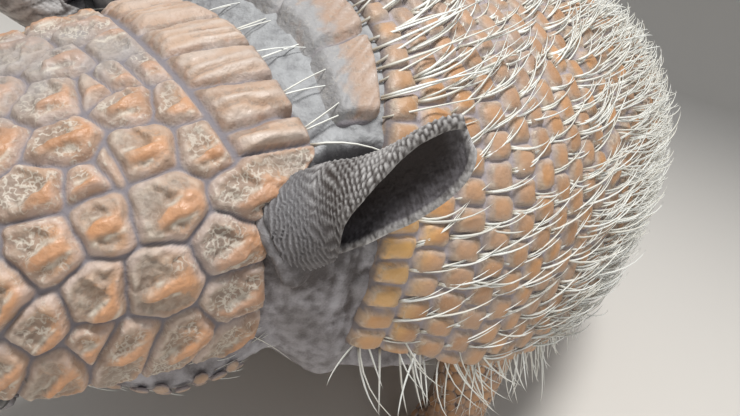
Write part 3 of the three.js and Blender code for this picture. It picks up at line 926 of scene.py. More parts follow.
def ear_sheet(side, spacing):
    """The folded sheet of one ear, outside and inside, with rows of granules on its outer face."""
    rows = round(EAR_LENGTH * (1 - EAR_ROOT) / spacing)
    cols = round(EAR_GIRTH / spacing)
    t, u = np.meshgrid(np.linspace(EAR_ROOT, 1, rows + 1), np.linspace(0, 1, cols + 1), indexing="ij")
    front = ear_front_rim(t)
    angle = mix(front, EAR_HIND_RIM, u)
    middle = ear_point(side, t, angle, np.full_like(t, EAR_SHEET / 2))
    steps = norm(np.diff(middle, axis=1), axis=-1)
    from_front = np.concatenate([np.zeros((rows + 1, 1)), np.cumsum(steps, 1)], 1)
    from_hind = from_front[:, -1:] - from_front
    length = EAR_LENGTH * t
    from_tip = EAR_LENGTH - length
    rim = np.minimum(np.minimum(from_front, from_hind), from_tip)
    outer_face = ear_point(side, t, angle, np.zeros_like(t))
    normals = turned_away(grid_normals(middle), outer_face - middle)
    round_rim = EAR_SHEET / 2
    thickness = round_rim * np.sqrt(limited(1 - (1 - limited(rim / round_rim)) ** 2))
    rolled = 0.55 * bell(from_front - 1.3, 0.9) * ramp(0.2, 0.45, t)
    flat = joined(length, from_front)
    granule, tops_and_root_shade = ear_granules(flat, from_front, t)
    granule = granule * mix(0.25, 1.0, ramp(1.0, 5.0, from_hind))
    alive = limited(thickness / round_rim)
    outer = middle + normals * (thickness + (rolled + granule) * alive)[..., None]
    wrinkle = np.cos(2 * np.pi * (length / 0.95 + 0.5 * lumps(flat, 3.5, 63, 2)))
    fuzz = 0.035 * wrinkle + 0.09 * lumps(flat, 0.7, 65, 2)
    inner = middle - normals * (thickness + (0.5 * rolled + fuzz) * alive)[..., None]
    hollow = ramp(1.5, 9.5, from_hind) * ramp(1, 5, from_tip)
    return outer, inner, rim, tops_and_root_shade, 0.5 + 0.12 * wrinkle + 0.5 * lumps(flat, 0.8, 66, 2), hollow, t


def ear_granules(flat, from_front, t):
    """Height of the granules, and 1 on their tops to 0 in the creases between them, darker towards the root
    as painted shade and darker along the lower front fold.
    """
    bend = 1.1 * lumps(flat, 6, 61, 2) + 0.35 * lumps(flat, 1.7, 62)
    length = flat[..., 0] + 0.33 * flat[..., 1] * ramp(0.75, 0.1, t) + bend
    row = np.floor(length / GRANULE_LENGTH)
    across = from_front / GRANULE_WIDTH + 0.5 * (row % 2) + 0.4 * lumps(flat, 2.5, 64)
    ring = 0.5 - 0.5 * np.cos(2 * np.pi * length / GRANULE_LENGTH)
    bead = 0.5 - 0.5 * np.cos(2 * np.pi * across)
    beaded = ramp(0.05, 0.45, t)
    near_rim = bell(from_front, 3.4) * ramp(0.1, 0.4, t)
    top = ring**0.7 * mix(1.0, bead**0.6, 0.2 + 0.3 * beaded + 0.45 * near_rim)
    by_fold = ramp(19, 6, from_front) * ramp(0.6, 0.25, t)
    # low: painted shade towards the ear's root
    low = ramp(0.32, 0.02, t)
    height = (0.24 + 0.3 * near_rim + 0.25 * np.maximum(by_fold, low)) * top - 0.12
    tint = mix(0.38 + 0.72 * top, 0.8 * top - 0.25, np.maximum(by_fold, 0.95 * low))
    return height, mix(tint, 1.05 * top, near_rim)


# ---------------- skin
VOXEL = 0.0017  # metres
BARE_HEAD_ANGLE = 84  # degrees round from the top, past which the head's skin shows
# leg sections from the trunk down: middle (x, y, z), half width, half depth
FORE_LEG = [
    (58, -88, 80, 16, 20), (63, -81, 62, 15.5, 19), (67, -82, 45, 13.5, 15), (69, -90, 28, 11, 11.5),
    (69, -95, 12, 10.5, 11),
]
HIND_LEG = [
    (62, 84, 86, 19, 30), (66, 78, 68, 19, 27), (68, 78, 52, 16, 21), (66, 86, 36, 13, 14.5),
    (65, 94, 22, 11.5, 12), (65, 97, 12, 11, 11.5),
]
# foot sections from heel to toes: y, half width, height
FORE_FOOT = (70, [(-82, 7, 13), (-86, 11, 19), (-96, 12.5, 20), (-107, 13, 14.5), (-112, 10, 10)])
HIND_FOOT = (66, [(110, 6, 12), (106, 10, 17), (96, 12, 20), (82, 13, 16.5), (72, 13.5, 12), (67, 11, 9.5)])
# toes from the inner to the outer: offset across, start y, splay in degrees, claw length, claw half width
FORE_TOES = [
    (-9.5, -108, 20, 15, 2.1), (-5, -112, 9, 23, 2.6), (0, -113, 0, 24, 2.8), (5.3, -111, -9, 18, 2.5),
    (9.7, -106, -20, 12, 2.0),
]
HIND_TOES = [
    (-10, 69, 16, 10, 2.0), (-5.3, 65, 7, 13, 2.3), (0, 64, 0, 14, 2.5), (5.3, 65, -7, 13, 2.3),
    (10, 69, -16, 10, 2.0),
]
# toe sections: reach ahead of the toe's start, share of its half width, half height
TOE_SECTIONS = [
    (-13, 1.0, 5.4), (-8, 1.12, 5.2), (-4, 1.2, 5.0), (-1.5, 1.12, 4.6), (0.8, 0.9, 4.0), (1.8, 0.55, 3.0),
]
TOE_FLESH = 1.0  # how far the toe reaches past its claw's half width
TRUNK_FRONT = -122.0
TRUNK_REAR = 152.0
NECK_HALF = 56.0  # the inner neck's hind end: half width, top, widest level and underside
NECK_TOP = 148.0
NECK_LEVEL = 98.0
NECK_UNDER = 56.0
HEAD_SIDES = 64
PAW_SIDES = 24
PAW_POWERS = (2.6, 2.8)  # how square a paw's sections are, across and upwards
trunk_inset = curve([(TRUNK_FRONT, 4.4), (105, 4.4), (TRUNK_REAR, 8)])
head_depth = curve([(-30, 4.6), (84, 4.6), (98, 0.9), (116, 0.9)])
rear_tilt = curve([(-22, 30), (22, 0), (116, 0)])
LIMBS = {"fore": (FORE_LEG, FORE_FOOT, FORE_TOES), "hind": (HIND_LEG, HIND_FOOT, HIND_TOES)}
# how far each paw stands behind its place in an even stance
STRIDE = {("fore", 1): 40, ("fore", -1): -8, ("hind", 1): -14, ("hind", -1): 14}


def limb(kind, side):
    """A limb's tables moved back; the top of the leg moves about half as far as the paw."""
    leg, (paw_x, stations), toes = LIMBS[kind]
    back = STRIDE[kind, side]
    return (
        [(x, y + back * min(1, 1.1 - 0.0075 * z), z, *radii) for x, y, z, *radii in leg],
        (paw_x, [(y + back, *size) for y, *size in stations]),
        [(offset, y + back, *shape) for offset, y, *shape in toes],
    )


def loft_piece(name, rings):
    """A closed tube through rings of points, with a fan over each end."""
    rings = np.asarray(rings)
    count, size = rings.shape[:2]
    points = np.concatenate([rings.reshape(-1, 3), rings[0].mean(0)[None], rings[-1].mean(0)[None]])
    index = np.arange(count * size).reshape(count, size)
    beside = np.roll(index, -1, axis=1)
    faces = joined(index[:-1], beside[:-1], beside[1:], index[1:]).reshape(-1, 4).tolist()
    first, last = count * size, count * size + 1
    faces += [(first, beside[0, i], index[0, i]) for i in range(size)]
    faces += [(last, index[-1, i], beside[-1, i]) for i in range(size)]
    return new_piece(name, points, faces)


def around(count):
    return np.arange(count) * 360 / count


def oval(centre, axis_a, axis_b, radius_a, radius_b, count=24):
    sine, cosine = rounded(around(count)[:, None], 2)
    return np.asarray(centre) + radius_a * cosine * np.asarray(axis_a) + radius_b * sine * np.asarray(axis_b)


def refined(stations, parts):
    """Stations with smooth in-between ones."""
    last = len(stations) - 1
    place = np.linspace(0, last, last * parts + 1)
    return joined(*(at(place) for at in columns([(k, *row) for k, row in enumerate(stations)])))


def trunk_point(y, degrees):
    """Point of the trunk's skin: y, degrees round from the top."""
    aside, upward = rounded(degrees, SECTION_POWER)
    inset = trunk_inset(y)
    rise = np.where(upward > 0, top(y) - inset - level(y), level(y) - belly(y))
    return joined((half_width(y) - inset) * aside, y, level(y) + rise * upward)


def trunk_rings():
    return [trunk_point(y, around(72)) for y in np.linspace(TRUNK_FRONT, TRUNK_REAR, 60)]


def cheek_depth(forward, degrees):
    """Depth of the skin under the head's full shape; the cheeks swell out below the shield."""
    low = 180 - np.abs(180 - np.abs(degrees))
    swell = ramp(104, 122, low) * ramp(176, 146, low) * ramp(42, 24, forward)
    return head_depth(forward) - 7.5 * swell


def head_ring(forward):
    degrees = around(HEAD_SIDES)
    tilted = forward + rear_tilt(forward) * (1 - np.cos(np.radians(degrees))) / 2
    return head_point(tilted, degrees, cheek_depth(tilted, degrees))


def head_rings():
    rings = [head_ring(float(forward)) for forward in np.linspace(-21, 112, 50)]
    middle = float(head_top(112.0) + head_under(112.0)) / 2
    centre = from_head(np.array([0, 112.0, middle]))
    ahead = unit(from_head(np.array([0, 113.0, middle])) - centre)
    for share in (0.2, 0.4, 0.58, 0.74, 0.87, 0.96):
        width = (1 - share**2.6) ** 0.5
        rings.append(centre + (rings[49] - centre) * width + ahead * 5.2 * share)
    return rings


def nape_point(t, degrees):
    """Face of the neck: t runs from the head shield's hind edge, 0, to the carapace's front margin, 1."""
    front = head_point(shield_rear(np.abs(degrees)), degrees)
    rear = carapace_point(scapular_front(degrees), degrees)
    return mix(front, rear, np.asarray(t)[..., None])


def nape_rings():
    """The skin of the neck, nearly level with the plates before and behind it."""
    t, degrees = np.meshgrid(np.linspace(0, 1, 21), np.linspace(-114, 114, 115), indexing="ij")
    face = nape_point(t, degrees)
    normals = -grid_normals(face)
    depth = 1.5 + 1.6 * (1 - t) ** 2
    rings = list(face - normals * depth[..., None])
    line = degrees[0]
    first = head_point(shield_rear(np.abs(line)) + 6, line, 6.5)
    last = carapace_point(scapular_front(line) + 9, line, 5.0)
    return [first, *rings, last]


def neck_rings():
    """The inner neck, from inside the head to an oval inside the trunk's front."""
    aside, upward = rounded(around(HEAD_SIDES), SECTION_POWER)
    rise = np.where(upward > 0, NECK_TOP - NECK_LEVEL, NECK_LEVEL - NECK_UNDER)
    rear = joined(NECK_HALF * aside, TRUNK_FRONT + 2, NECK_LEVEL + rise * upward)
    return [mix(head_ring(-17.0), rear, t) for t in np.linspace(0, 1, 16)]


def foot_rings(shape, side):
    x, stations = shape
    across, up = paw_section(around(PAW_SIDES) + 180 / PAW_SIDES)
    return [
        joined(side * x + half * across, y, height / 2 * (1 + up)) for y, half, height in refined(stations, 3)
    ]


def paw_section(degrees):
    """Shares of a paw's half widths, across and upwards, at degrees round it from its side."""
    across_power, up_power = PAW_POWERS
    return rounded(degrees, across_power)[1], rounded(degrees, up_power)[0]


def toe_axis(toe, x, side):
    """Start of a toe on the floor, and its directions forward and across."""
    offset, start, splay, _, _ = toe
    sine, cosine = np.sin(np.radians(splay * side)), np.cos(np.radians(splay * side))
    directions = np.array([-sine, -cosine, 0.0]), np.array([-cosine, sine, 0.0])
    return np.array([side * (x + offset), start, 0.0]), *directions


def toe_rings(toe, x, side):
    start, forward, across = toe_axis(toe, x, side)
    half = toe[4] + TOE_FLESH
    rings = []
    for reach, width, height in TOE_SECTIONS:
        centre = start + forward * reach + np.array([0, 0, height])
        rings.append(oval(centre, across, (0, 0, 1), half * width, height, 14))
    return rings


def flesh_parts():
    """Closed lumps that together fill the skin."""
    parts = [
        loft_piece("flesh_trunk", trunk_rings()),
        loft_piece("flesh_neck", neck_rings()),
        loft_piece("flesh_nape", nape_rings()),
        loft_piece("flesh_head", head_rings()),
    ]
    for side in SIDES:
        for leg, paw, toes in (limb("fore", side), limb("hind", side)):
            rings = [
                oval((side * x, y, z), (1, 0, 0), (0, 1, 0), across, along)
                for x, y, z, across, along in refined(leg, 4)
            ]
            parts.append(loft_piece("flesh_leg", rings))
            parts.append(loft_piece("flesh_foot", foot_rings(paw, side)))
            for toe in toes:
                parts.append(loft_piece("flesh_toe", toe_rings(toe, paw[0], side)))
        parts.append(loft_piece("flesh_ear_root", ear_root_rings(side)))
    return parts


def ear_root_rings(side):
    """The solid root that joins an ear's folded sheet to the head."""
    rings = []
    round_it = around(EAR_ROOT_SIDES)
    neckward = ramp(-0.1, 0.7, np.cos(np.radians(round_it + 35)))
    for t in np.linspace(*EAR_ROOT_SPAN, 9):
        taper = 1.6 * ramp(-0.02, 0.1, t) - (1.2 + 3.2 * neckward) * ramp(0.0, EAR_ROOT_SPAN[0], t)
        rings.append(ear_point(side, np.full_like(round_it, t), round_it, 0.9 + taper))
    return rings


def select_only(*pieces):
    bpy.ops.object.select_all(action="DESELECT")
    for piece in pieces:
        piece.select_set(True)
    bpy.context.view_layer.objects.active = pieces[0]


def applied(piece, kind, **settings):
    """Adds a modifier with its settings and applies it."""
    select_only(piece)
    modifier = piece.modifiers.new(kind.lower(), kind)
    for key, value in settings.items():
        setattr(modifier, key, value)
    bpy.ops.object.modifier_apply(modifier=modifier.name)


def turn_outward(piece, merged=0.0):
    """Points every face outwards, after merging points that lie closer than merged, in metres."""
    select_only(piece)
    bpy.ops.object.mode_set(mode="EDIT")
    bpy.ops.mesh.select_all(action="SELECT")
    if merged:
        bpy.ops.mesh.remove_doubles(threshold=merged)
    bpy.ops.mesh.normals_make_consistent(inside=False)
    bpy.ops.object.mode_set(mode="OBJECT")


def of_points(piece, quality="co"):
    """Places of a piece's points, or their normals, as an array."""
    flat = np.empty(len(piece.data.vertices) * 3)
    piece.data.vertices.foreach_get(quality, flat)
    return flat.reshape(-1, 3)


def to_animal(points):
    return points / MM - np.array([0, BODY_SLIDE, 0])


def move_points(piece, points):
    piece.data.vertices.foreach_set("co", np.asarray(points, np.float32).ravel())
    piece.data.update()


def round_head(local):
    """Degrees round the head's section from the top, positive left."""
    forward = np.clip(local[:, 1], HEAD[0][0], HEAD[-1][0])
    high = local[:, 2] - head_level(forward)
    above = head_top(forward) - head_level(forward)
    rise = np.where(high > 0, above, head_level(forward) - head_under(forward))
    aside = signed_power(local[:, 0] / head_half_width(forward), HEAD_POWER / 2)
    return np.degrees(np.arctan2(aside, signed_power(high / np.abs(rise), HEAD_POWER / 2)))


def pick_faces(piece, wanted):
    """Selects, in edit mode, the faces whose points are all wanted."""
    select_only(piece)
    mesh = piece.data
    chosen = [bool(wanted[list(face.vertices)].all()) for face in mesh.polygons]
    mesh.vertices.foreach_set("select", np.zeros(len(mesh.vertices), bool))
    mesh.edges.foreach_set("select", np.zeros(len(mesh.edges), bool))
    mesh.polygons.foreach_set("select", chosen)
    bpy.ops.object.mode_set(mode="EDIT")
    bpy.ops.mesh.select_mode(type="FACE")


def refine(piece, wanted):
    pick_faces(piece, wanted)
    bpy.ops.mesh.subdivide(number_cuts=1, smoothness=0.6)
    bpy.ops.object.mode_set(mode="OBJECT")


def thin_out_hidden(skin):
    """Fewer faces where scutes cover the skin, and rather fewer on the belly."""
    place = to_animal(of_points(skin))
    local = to_head(place)
    y, z = place[:, 1], place[:, 2]
    on_trunk = (y > -112) & (y < 148)
    covered = on_trunk & (z > level(y) + 3)
    covered |= (y > 166) | (local[:, 1] > 4) & (local[:, 1] < 94) & (np.abs(round_head(local)) < 78)
    under = on_trunk & ~covered & (z > 42)
    group = skin.vertex_groups.new(name="thin")
    group.add(np.nonzero(covered)[0].tolist(), 1.0, "REPLACE")
    group.add(np.nonzero(under)[0].tolist(), 0.35, "REPLACE")
    applied(skin, "DECIMATE", ratio=0.32, vertex_group="thin", vertex_group_factor=8.0)
    skin.vertex_groups.clear()


EYE_RADIUS = 4.2
LIDS_WIDE = 56  # half the opening, in degrees round the eyeball
LIDS_HIGH = 30
LID_REACH = 9.5  # from the eyeball's middle to where the lids run out into the cheek
EYE_AT = (50.0, 102.0, 5.4)  # ahead of the crown, degrees round, depth under the shield's face


def eye_place(side):
    forward, degrees, depth = EYE_AT
    middle = head_point(np.array(forward), np.array(side * degrees), depth)
    outer = head_point(np.array(forward), np.array(side * degrees), depth - 5)
    return middle, unit(outer - middle)


def shape_lids(place):
    """Draws the skin over each eyeball, apart from an almond-shaped opening."""
    ahead = unit(from_head(np.array([0, 1.0, 0])) - from_head(np.zeros(3)))
    for side in SIDES:
        middle, outward = eye_place(side)
        along = unit(ahead - outward * ahead.dot(outward))
        high = np.cross(outward, along) * side
        high *= np.sign(high[2])
        away = place - middle
        distance = norm(away, axis=1)
        direction = away / np.maximum(distance, 1e-6)[:, None]
        across = np.degrees(np.arcsin(np.clip(direction @ along, -1, 1)))
        upright = np.degrees(np.arcsin(np.clip(direction @ high, -1, 1)))
        facing = direction @ outward
        lid_line = LIDS_HIGH * np.sqrt(limited(1 - (across / LIDS_WIDE) ** 2))
        gap = np.abs(upright + 3) - lid_line
        near = (distance < LID_REACH) & (facing > -0.2)
        shell = EYE_RADIUS + 0.75 + 0.35 * bell(gap, 9) - 0.25 * bell(gap - 20, 6)
        shell = mix(EYE_RADIUS - 0.9, shell, ramp(-5, 3, gap))
        strength = ramp(LID_REACH, 5.2, distance) * ramp(-0.2, 0.35, facing)
        moved = middle + direction * mix(distance, shell, strength)[:, None]
        place = np.where(near[:, None], moved, place)
    return place


NOSTRIL_AT = np.array([3.7, 115.8, -25.6])  # in the head's own frame, on the left
NOSTRIL_NARROWNESS = np.array([0.85, 0.6, 1.35])
mouth_line = curve([(56, 141), (64, 133), (80, 127), (100, 122), (116, 118)])


def face_dents(local, degrees):
    """Depth of the mouth line and the nostrils, in millimetres."""
    forward = local[:, 1]
    off_line = (np.abs(degrees) - mouth_line(np.clip(forward, 56, 116))) * 0.30
    mouth = 0.9 * bell(off_line, 0.7) * ramp(58, 66, forward)
    lip = -0.35 * bell(off_line - 1.8, 1.1) * ramp(60, 70, forward)
    from_nostril = nostril_distance(local)
    philtrum = 0.5 * bell(local[:, 0], 0.6) * ramp(113, 115, forward)
    pad = -0.5 * bell(forward - 112.6, 1.2)
    rim = -0.35 * bell(from_nostril - 2.5, 0.7)
    return mouth + lip + pad + philtrum + rim + 3.0 * ramp(2.0, 0.7, from_nostril)


def nostril_distance(local):
    """Distance from the nearer nostril, longer one way than the other."""
    away = joined(np.abs(local[:, 0]), local[:, 1], local[:, 2]) - NOSTRIL_AT
    return norm(away * NOSTRIL_NARROWNESS, axis=1)


def beside_line(place, start, end):
    """Distance of points from a line over the neck, looked at square to the neck."""
    outward = unit(start - np.array([0, start[1], 100.0]))
    line = end - start
    line = line - line.dot(outward) * outward
    away = place - start
    height = away @ outward
    flat = away - height[:, None] * outward
    share = limited(flat @ line / line.dot(line))
    return norm(flat - share[:, None] * line, axis=1) + 99 * (np.abs(height) > 10)


def skin_folds(place, local):
    """Height of wrinkles and granules over the bare skin, and 1 on the tops to 0 in the creases, lowered
    further by painted shade in the pit behind each ear, under each ear's root and in the rucks on the side of
    the neck.
    """
    on_neck = ramp(-2, -14, local[:, 1]) * ramp(-104, -122, place[:, 1])
    stretch = np.array([1.0, 2.6, 1.0])
    folds = lumps(place * stretch, 9, 71, 2)
    fine = lumps(place * np.array([1.0, 1.8, 1.0]), 2.2, 72, 2)
    grains = lumps(place, 1.15, 73, 1)
    side_of_neck = on_neck * ramp(132, 112, place[:, 2]) * ramp(62, 80, place[:, 2])
    rucks = np.abs(lumps(place * np.array([0.8, 2.4, 0.7]), 5.5, 74, 2))
    height = (0.5 * folds + 0.26 * fine) * on_neck + 0.22 * fine * (1 - on_neck) + 0.12 * grains
    height += (0.4 * folds + 1.3 * np.minimum(rucks, 0.5) - 0.4) * side_of_neck
    # shaded: painted shade in the pit behind each ear, under each ear's root and in the neck's rucks, with
    # painted light along the ridge beside the pit and on the tops of the folds
    shaded = np.zeros(len(place))
    for side in SIDES:
        ridge = nape_point(0.05, side * 62.0), nape_point(0.42, side * 52.0)
        pit = nape_point(0.5, side * 59.5), nape_point(0.85, side * 57.0)
        off_ridge = beside_line(place, *ridge)
        from_pit = beside_line(place, *pit)
        height += 1.5 * bell(off_ridge, 1.3) - 6.5 * bell(from_pit, 2.1)
        shaded += 1.6 * bell(from_pit, 2.9) - 0.4 * bell(off_ridge, 1.5)
        from_ear = norm(place - nape_point(0.4, side * 80.0), axis=1)
        shaded += 0.95 * bell(from_ear, 8)
    shaded += side_of_neck * (0.5 * ramp(0.3, 0.0, rucks) - 0.1 - 0.25 * folds)
    tops_and_painted_shade = limited(0.62 + 0.3 * fine + 0.3 * grains + 0.12 * folds - shaded)
    return height, tops_and_painted_shade


def skin_piece():
    parts = flesh_parts()
    select_only(*parts)
    bpy.ops.object.join()
    skin = bpy.context.object
    skin.name = skin.data.name = "skin"
    applied(skin, "REMESH", mode="VOXEL", voxel_size=VOXEL)
    applied(skin, "SMOOTH", factor=0.5, iterations=4)
    thin_out_hidden(skin)
    place = to_animal(of_points(skin))
    local = to_head(place)
    bare_head = (local[:, 1] > 30) & (np.abs(round_head(local)) > BARE_HEAD_ANGLE)
    neck_side = (place[:, 1] < -116) & (place[:, 0] > 8) & (local[:, 1] < 22) & (place[:, 2] > 72)
    nape = (place[:, 1] < -112) & (local[:, 1] < -8) & (place[:, 2] > 104)
    paws = place[:, 2] < 13
    refine(skin, bare_head | neck_side | nape | paws)
    place = to_animal(of_points(skin))
    local = to_head(place)
    by_ear = norm(place - nape_point(0.6, 59.0), axis=1) < 9
    by_eye = local[:, 1] > 108
    for side in SIDES:
        by_eye |= norm(place - eye_place(side)[0], axis=1) < 8
    refine(skin, by_ear | by_eye)
    applied(skin, "SMOOTH", factor=0.5, iterations=2)
    place = shape_lids(to_animal(of_points(skin)))
    local = to_head(place)
    # tops also carries the painted shade by the ears and on the neck
    height, tops = skin_folds(place, local)
    degrees = round_head(local)
    on_head = local[:, 1] > 40
    height = np.where(on_head, 0.5 * height - face_dents(local, degrees), height)
    near_eye = np.minimum(*(norm(place - eye_place(side)[0], axis=1) for side in SIDES))
    height *= ramp(4.5, 8, near_eye)
    place = place + of_points(skin, "normal") * height[:, None]
    place[:, 2] = np.where(place[:, 2] < 0.9, np.maximum(place[:, 2] * 0.2, 0.0), place[:, 2])
    move_points(skin, to_part(place))
    y, z = place[:, 1], place[:, 2]
    belly_share = ramp(-118, -100, y) * ramp(level(np.clip(y, -156, 158)) + 4, 70, z)
    foot_share = ramp(34, 14, z)
    values = {
        "top": tops,
        "belly": limited(belly_share),
        "foot": foot_share,
        "nose": ramp(109, 113, local[:, 1]) * (0.7 + 0.3 * tops),
        "nostril": ramp(2.1, 1.2, nostril_distance(local)),
        **dict.fromkeys(("inside", "hollow", "ear"), 0 * y),
    }
    set_values(skin, values)
    ears = [ear_piece(side, spacing) for side, spacing in EAR_SPACING.items()]
    select_only(skin, *ears)
    bpy.ops.object.join()
    skin.data.shade_smooth()
    return skin


def strip_faces(near, far):
    """Quads between two rows of as many points."""
    return joined(near[:-1], near[1:], far[1:], far[:-1]).tolist()


def ear_piece(side, spacing):
    """One ear's sheet, closed round its rim."""
    outer, inner, rim, top, wrinkle, hollow, t = ear_sheet(side, spacing)
    rows, cols = t.shape
    size = rows * cols
    outside = np.arange(size).reshape(rows, cols)
    within = outside + size
    faces = sheet_faces(rows, cols) + sheet_faces(rows, cols, size, flip=True)
    faces += strip_faces(within[0], outside[0]) + strip_faces(outside[-1], within[-1])
    faces += strip_faces(outside[:, 0], within[:, 0]) + strip_faces(within[:, -1], outside[:, -1])
    values = {
        # the outer face's top mask carries painted shade towards the ear's root
        "top": [top, wrinkle],
        "inside": [0 * t, ramp(-0.3, 1.3, rim)],
        "hollow": [0 * t, hollow],
        "ear": [ramp(-0.02, 0.25, t), 0 * t + 1],
        **dict.fromkeys(("belly", "foot", "nose", "nostril"), [0 * t, 0 * t]),
    }
    points = np.concatenate([outer.reshape(-1, 3), inner.reshape(-1, 3)])
    piece = new_piece(f"ear_{side}", points, faces, values)
    turn_outward(piece, merged=RIM_GAP)
    return piece


# ---------------- eyes
def eye_piece(side):
    """A wet eyeball with a slightly bulging cornea."""
    middle, outward = eye_place(side)
    bpy.ops.object.select_all(action="DESELECT")
    bpy.ops.mesh.primitive_uv_sphere_add(segments=40, ring_count=24, radius=EYE_RADIUS * MM)
    eye = bpy.context.object
    eye.name = eye.data.name = f"eyeball_{SIDES[side]}"
    place = of_points(eye) / MM
    facing = unit(place) @ outward
    bulge = 0.35 * ramp(0.72, 1.0, facing)
    move_points(eye, to_part(middle + unit(place) * (EYE_RADIUS + bulge)[:, None]))
    set_values(eye, {"pupil": ramp(0.55, 0.62, facing)})
    eye.data.shade_smooth()
    return eye


# ---------------- claws
CLAW_RINGS = 22
CLAW_SIDES = 20
CLAW_HEIGHT = 6.5
CLAW_TIP_HEIGHT = 2.2
CLAW_INWARD = 4.0  # how far the claw starts inside its toe


def claw_piece(name, toe, x, side):
    """A claw that arches forward and down from a toe, rounded above and hollowed a little below."""
    start, forward, across = toe_axis(toe, x, side)
    length, half = toe[3], toe[4]
    rings = []
    for t in np.linspace(0, 1, CLAW_RINGS):
        reach = t * (length + CLAW_INWARD) - CLAW_INWARD
        z = mix(CLAW_HEIGHT, CLAW_TIP_HEIGHT, t**1.5) + 1.6 * math.sin(math.pi * t)
        taper = math.sqrt(1 - 0.93 * t**1.6)
        angle = np.radians(around(CLAW_SIDES))[:, None]
        high = np.sin(angle)
        flat_below = np.where(high < 0, 0.72 + 0.2 * np.cos(angle) ** 2, 1.0)
        side_way = half * 0.97 * taper * np.cos(angle) * (1 - 0.16 * np.maximum(high, 0))
        up_way = 1.22 * half * taper * high * flat_below
        centre = start + forward * reach + np.array([0, 0, z])
        rings.append(centre + side_way * across + up_way * np.array([0, 0, 1.0]))
    claw = loft_piece(name, rings)
    along = np.repeat(np.linspace(0, 1, CLAW_RINGS), CLAW_SIDES)
    set_values(claw, {"along": np.append(along, [0, 1])})
    turn_outward(claw)
    return claw


# ---------------- tail
TAIL_LINE = [
    (0, 152.3, 91), (0, 172, 87), (1, 205, 74), (5, 245, 55), (11, 290, 37), (17, 330, 25), (21, 360, 19.5),
]
TAIL_RINGS = 420
TAIL_SIDES = 120
tail_radius = curve([(0, 15.5), (0.15, 14.6), (0.4, 11.6), (0.7, 7.8), (1, 3.2)])
TAIL_DEEP = 0.94
TAIL_ROWS = 34
TAIL_CROWDING = 0.35  # how much closer together the rows are at the root than at the tip
TAIL_COLUMNS = 15


def tail_frames(count):
    """Even places along the tail's middle line: share of its length, points, across and up directions."""
    knots = np.array(TAIL_LINE, float)
    gaps = np.sqrt(norm(np.diff(knots, axis=0), axis=1))
    times = np.concatenate([[0], np.cumsum(gaps)])
    slopes = np.gradient(knots, times, axis=0)
    fine = np.linspace(0, times[-1], 600)
    i = np.clip(np.searchsorted(times, fine) - 1, 0, len(gaps) - 1)
    line = between(((fine - times[i]) / gaps[i])[:, None], gaps[i][:, None], knots, slopes, i)
    length = np.concatenate([[0], np.cumsum(norm(np.diff(line, axis=0), axis=1))])
    share = np.linspace(0, 1, count)
    centre = joined(*(np.interp(share * length[-1], length, line[:, k]) for k in range(3)))
    along = unit(np.gradient(centre, axis=0))
    across = unit(np.cross(along, np.array([0, 0, 1.0])))
    return share, centre, across, np.cross(across, along), length[-1]


def tail_piece():
    """The tail's rings of scutes, broad at its root and small at its tip."""
    share, centre, across, high, length = tail_frames(TAIL_RINGS)
    s, angle = np.meshgrid(share, np.radians(around(TAIL_SIDES)), indexing="ij")
    row_place = TAIL_ROWS * ((1 + TAIL_CROWDING) * s - TAIL_CROWDING * s**2)
    radius = tail_radius(s) - 0.75
    width = 2 * math.pi * radius / TAIL_COLUMNS
    flat = joined(s * length, angle * 14)
    cell, fore, side = tiles(row_place + 0.05 * lumps(flat, 5, 81), angle / (2 * math.pi) * TAIL_COLUMNS, 0.5)
    row_depth = length / (TAIL_ROWS * (1 + TAIL_CROWDING - 2 * TAIL_CROWDING * s))
    cell[..., 1] %= TAIL_COLUMNS
    inside = rounded_inside((0.5 - np.abs(fore)) * row_depth, (0.5 - np.abs(side)) * width, 1.2)
    height, masks = scute_masks(flat, cell, fore, side, inside, groove=0.5, depth=0.7, seed=82)
    height += 0.45 * limited(fore + 0.5) * ramp(0.1, 0.7, inside)
    swell = (radius + 0.8 * height * ramp(1.0, 0.9, s))[..., None]
    rings = centre[:, None] + swell * (
        np.cos(angle)[..., None] * across[:, None] + TAIL_DEEP * np.sin(angle)[..., None] * high[:, None]
    )
    tail = loft_piece("tail_scutes", rings)
    set_values(tail, {key: np.append(values.ravel(), [0.0, 0.0]) for key, values in masks.items()})
    turn_outward(tail)
    return tail


# ---------------- small scutes on limbs and cheeks
STUD_SIDES = 7


def stack_faces(first, sides, rings, under=None, over=None):
    """Faces of many stacks of rings whose points start at first, with tips of those numbers at the ends."""
    quads, ends = [], []
    for k in range(sides):
        after = (k + 1) % sides
        for start in range(0, (rings - 1) * sides, sides):
            corners = (start + k, start + after, start + sides + after, start + sides + k)
            quads.append(first[:, None] + corners)
        if under is not None:
            ends.append(first[:, None] + (after, k, under))
        ends.append(first[:, None] + ((rings - 1) * sides + k, (rings - 1) * sides + after, over))
    return np.concatenate(quads).tolist() + np.concatenate(ends).tolist()


# the rings of a small scute from under its edge to its top: share of its radius, height as a share of half
# of it, how far it is from the groove and how worn it is
STUD_RINGS = [(0.82, -0.55, 0.0, 0.0), (1.0, 0.02, 0.4, 0.1), (0.86, 0.34, 1.0, 0.6), (0.5, 0.52, 1.0, 0.9)]
STUD_RAGGED = 0.16
STUD_LENGTH = 1.12  # along, for each 1 across
STUD_HEIGHT = 0.55
STUD_BURIED = 0.5
STUD_PEAK = 0.33


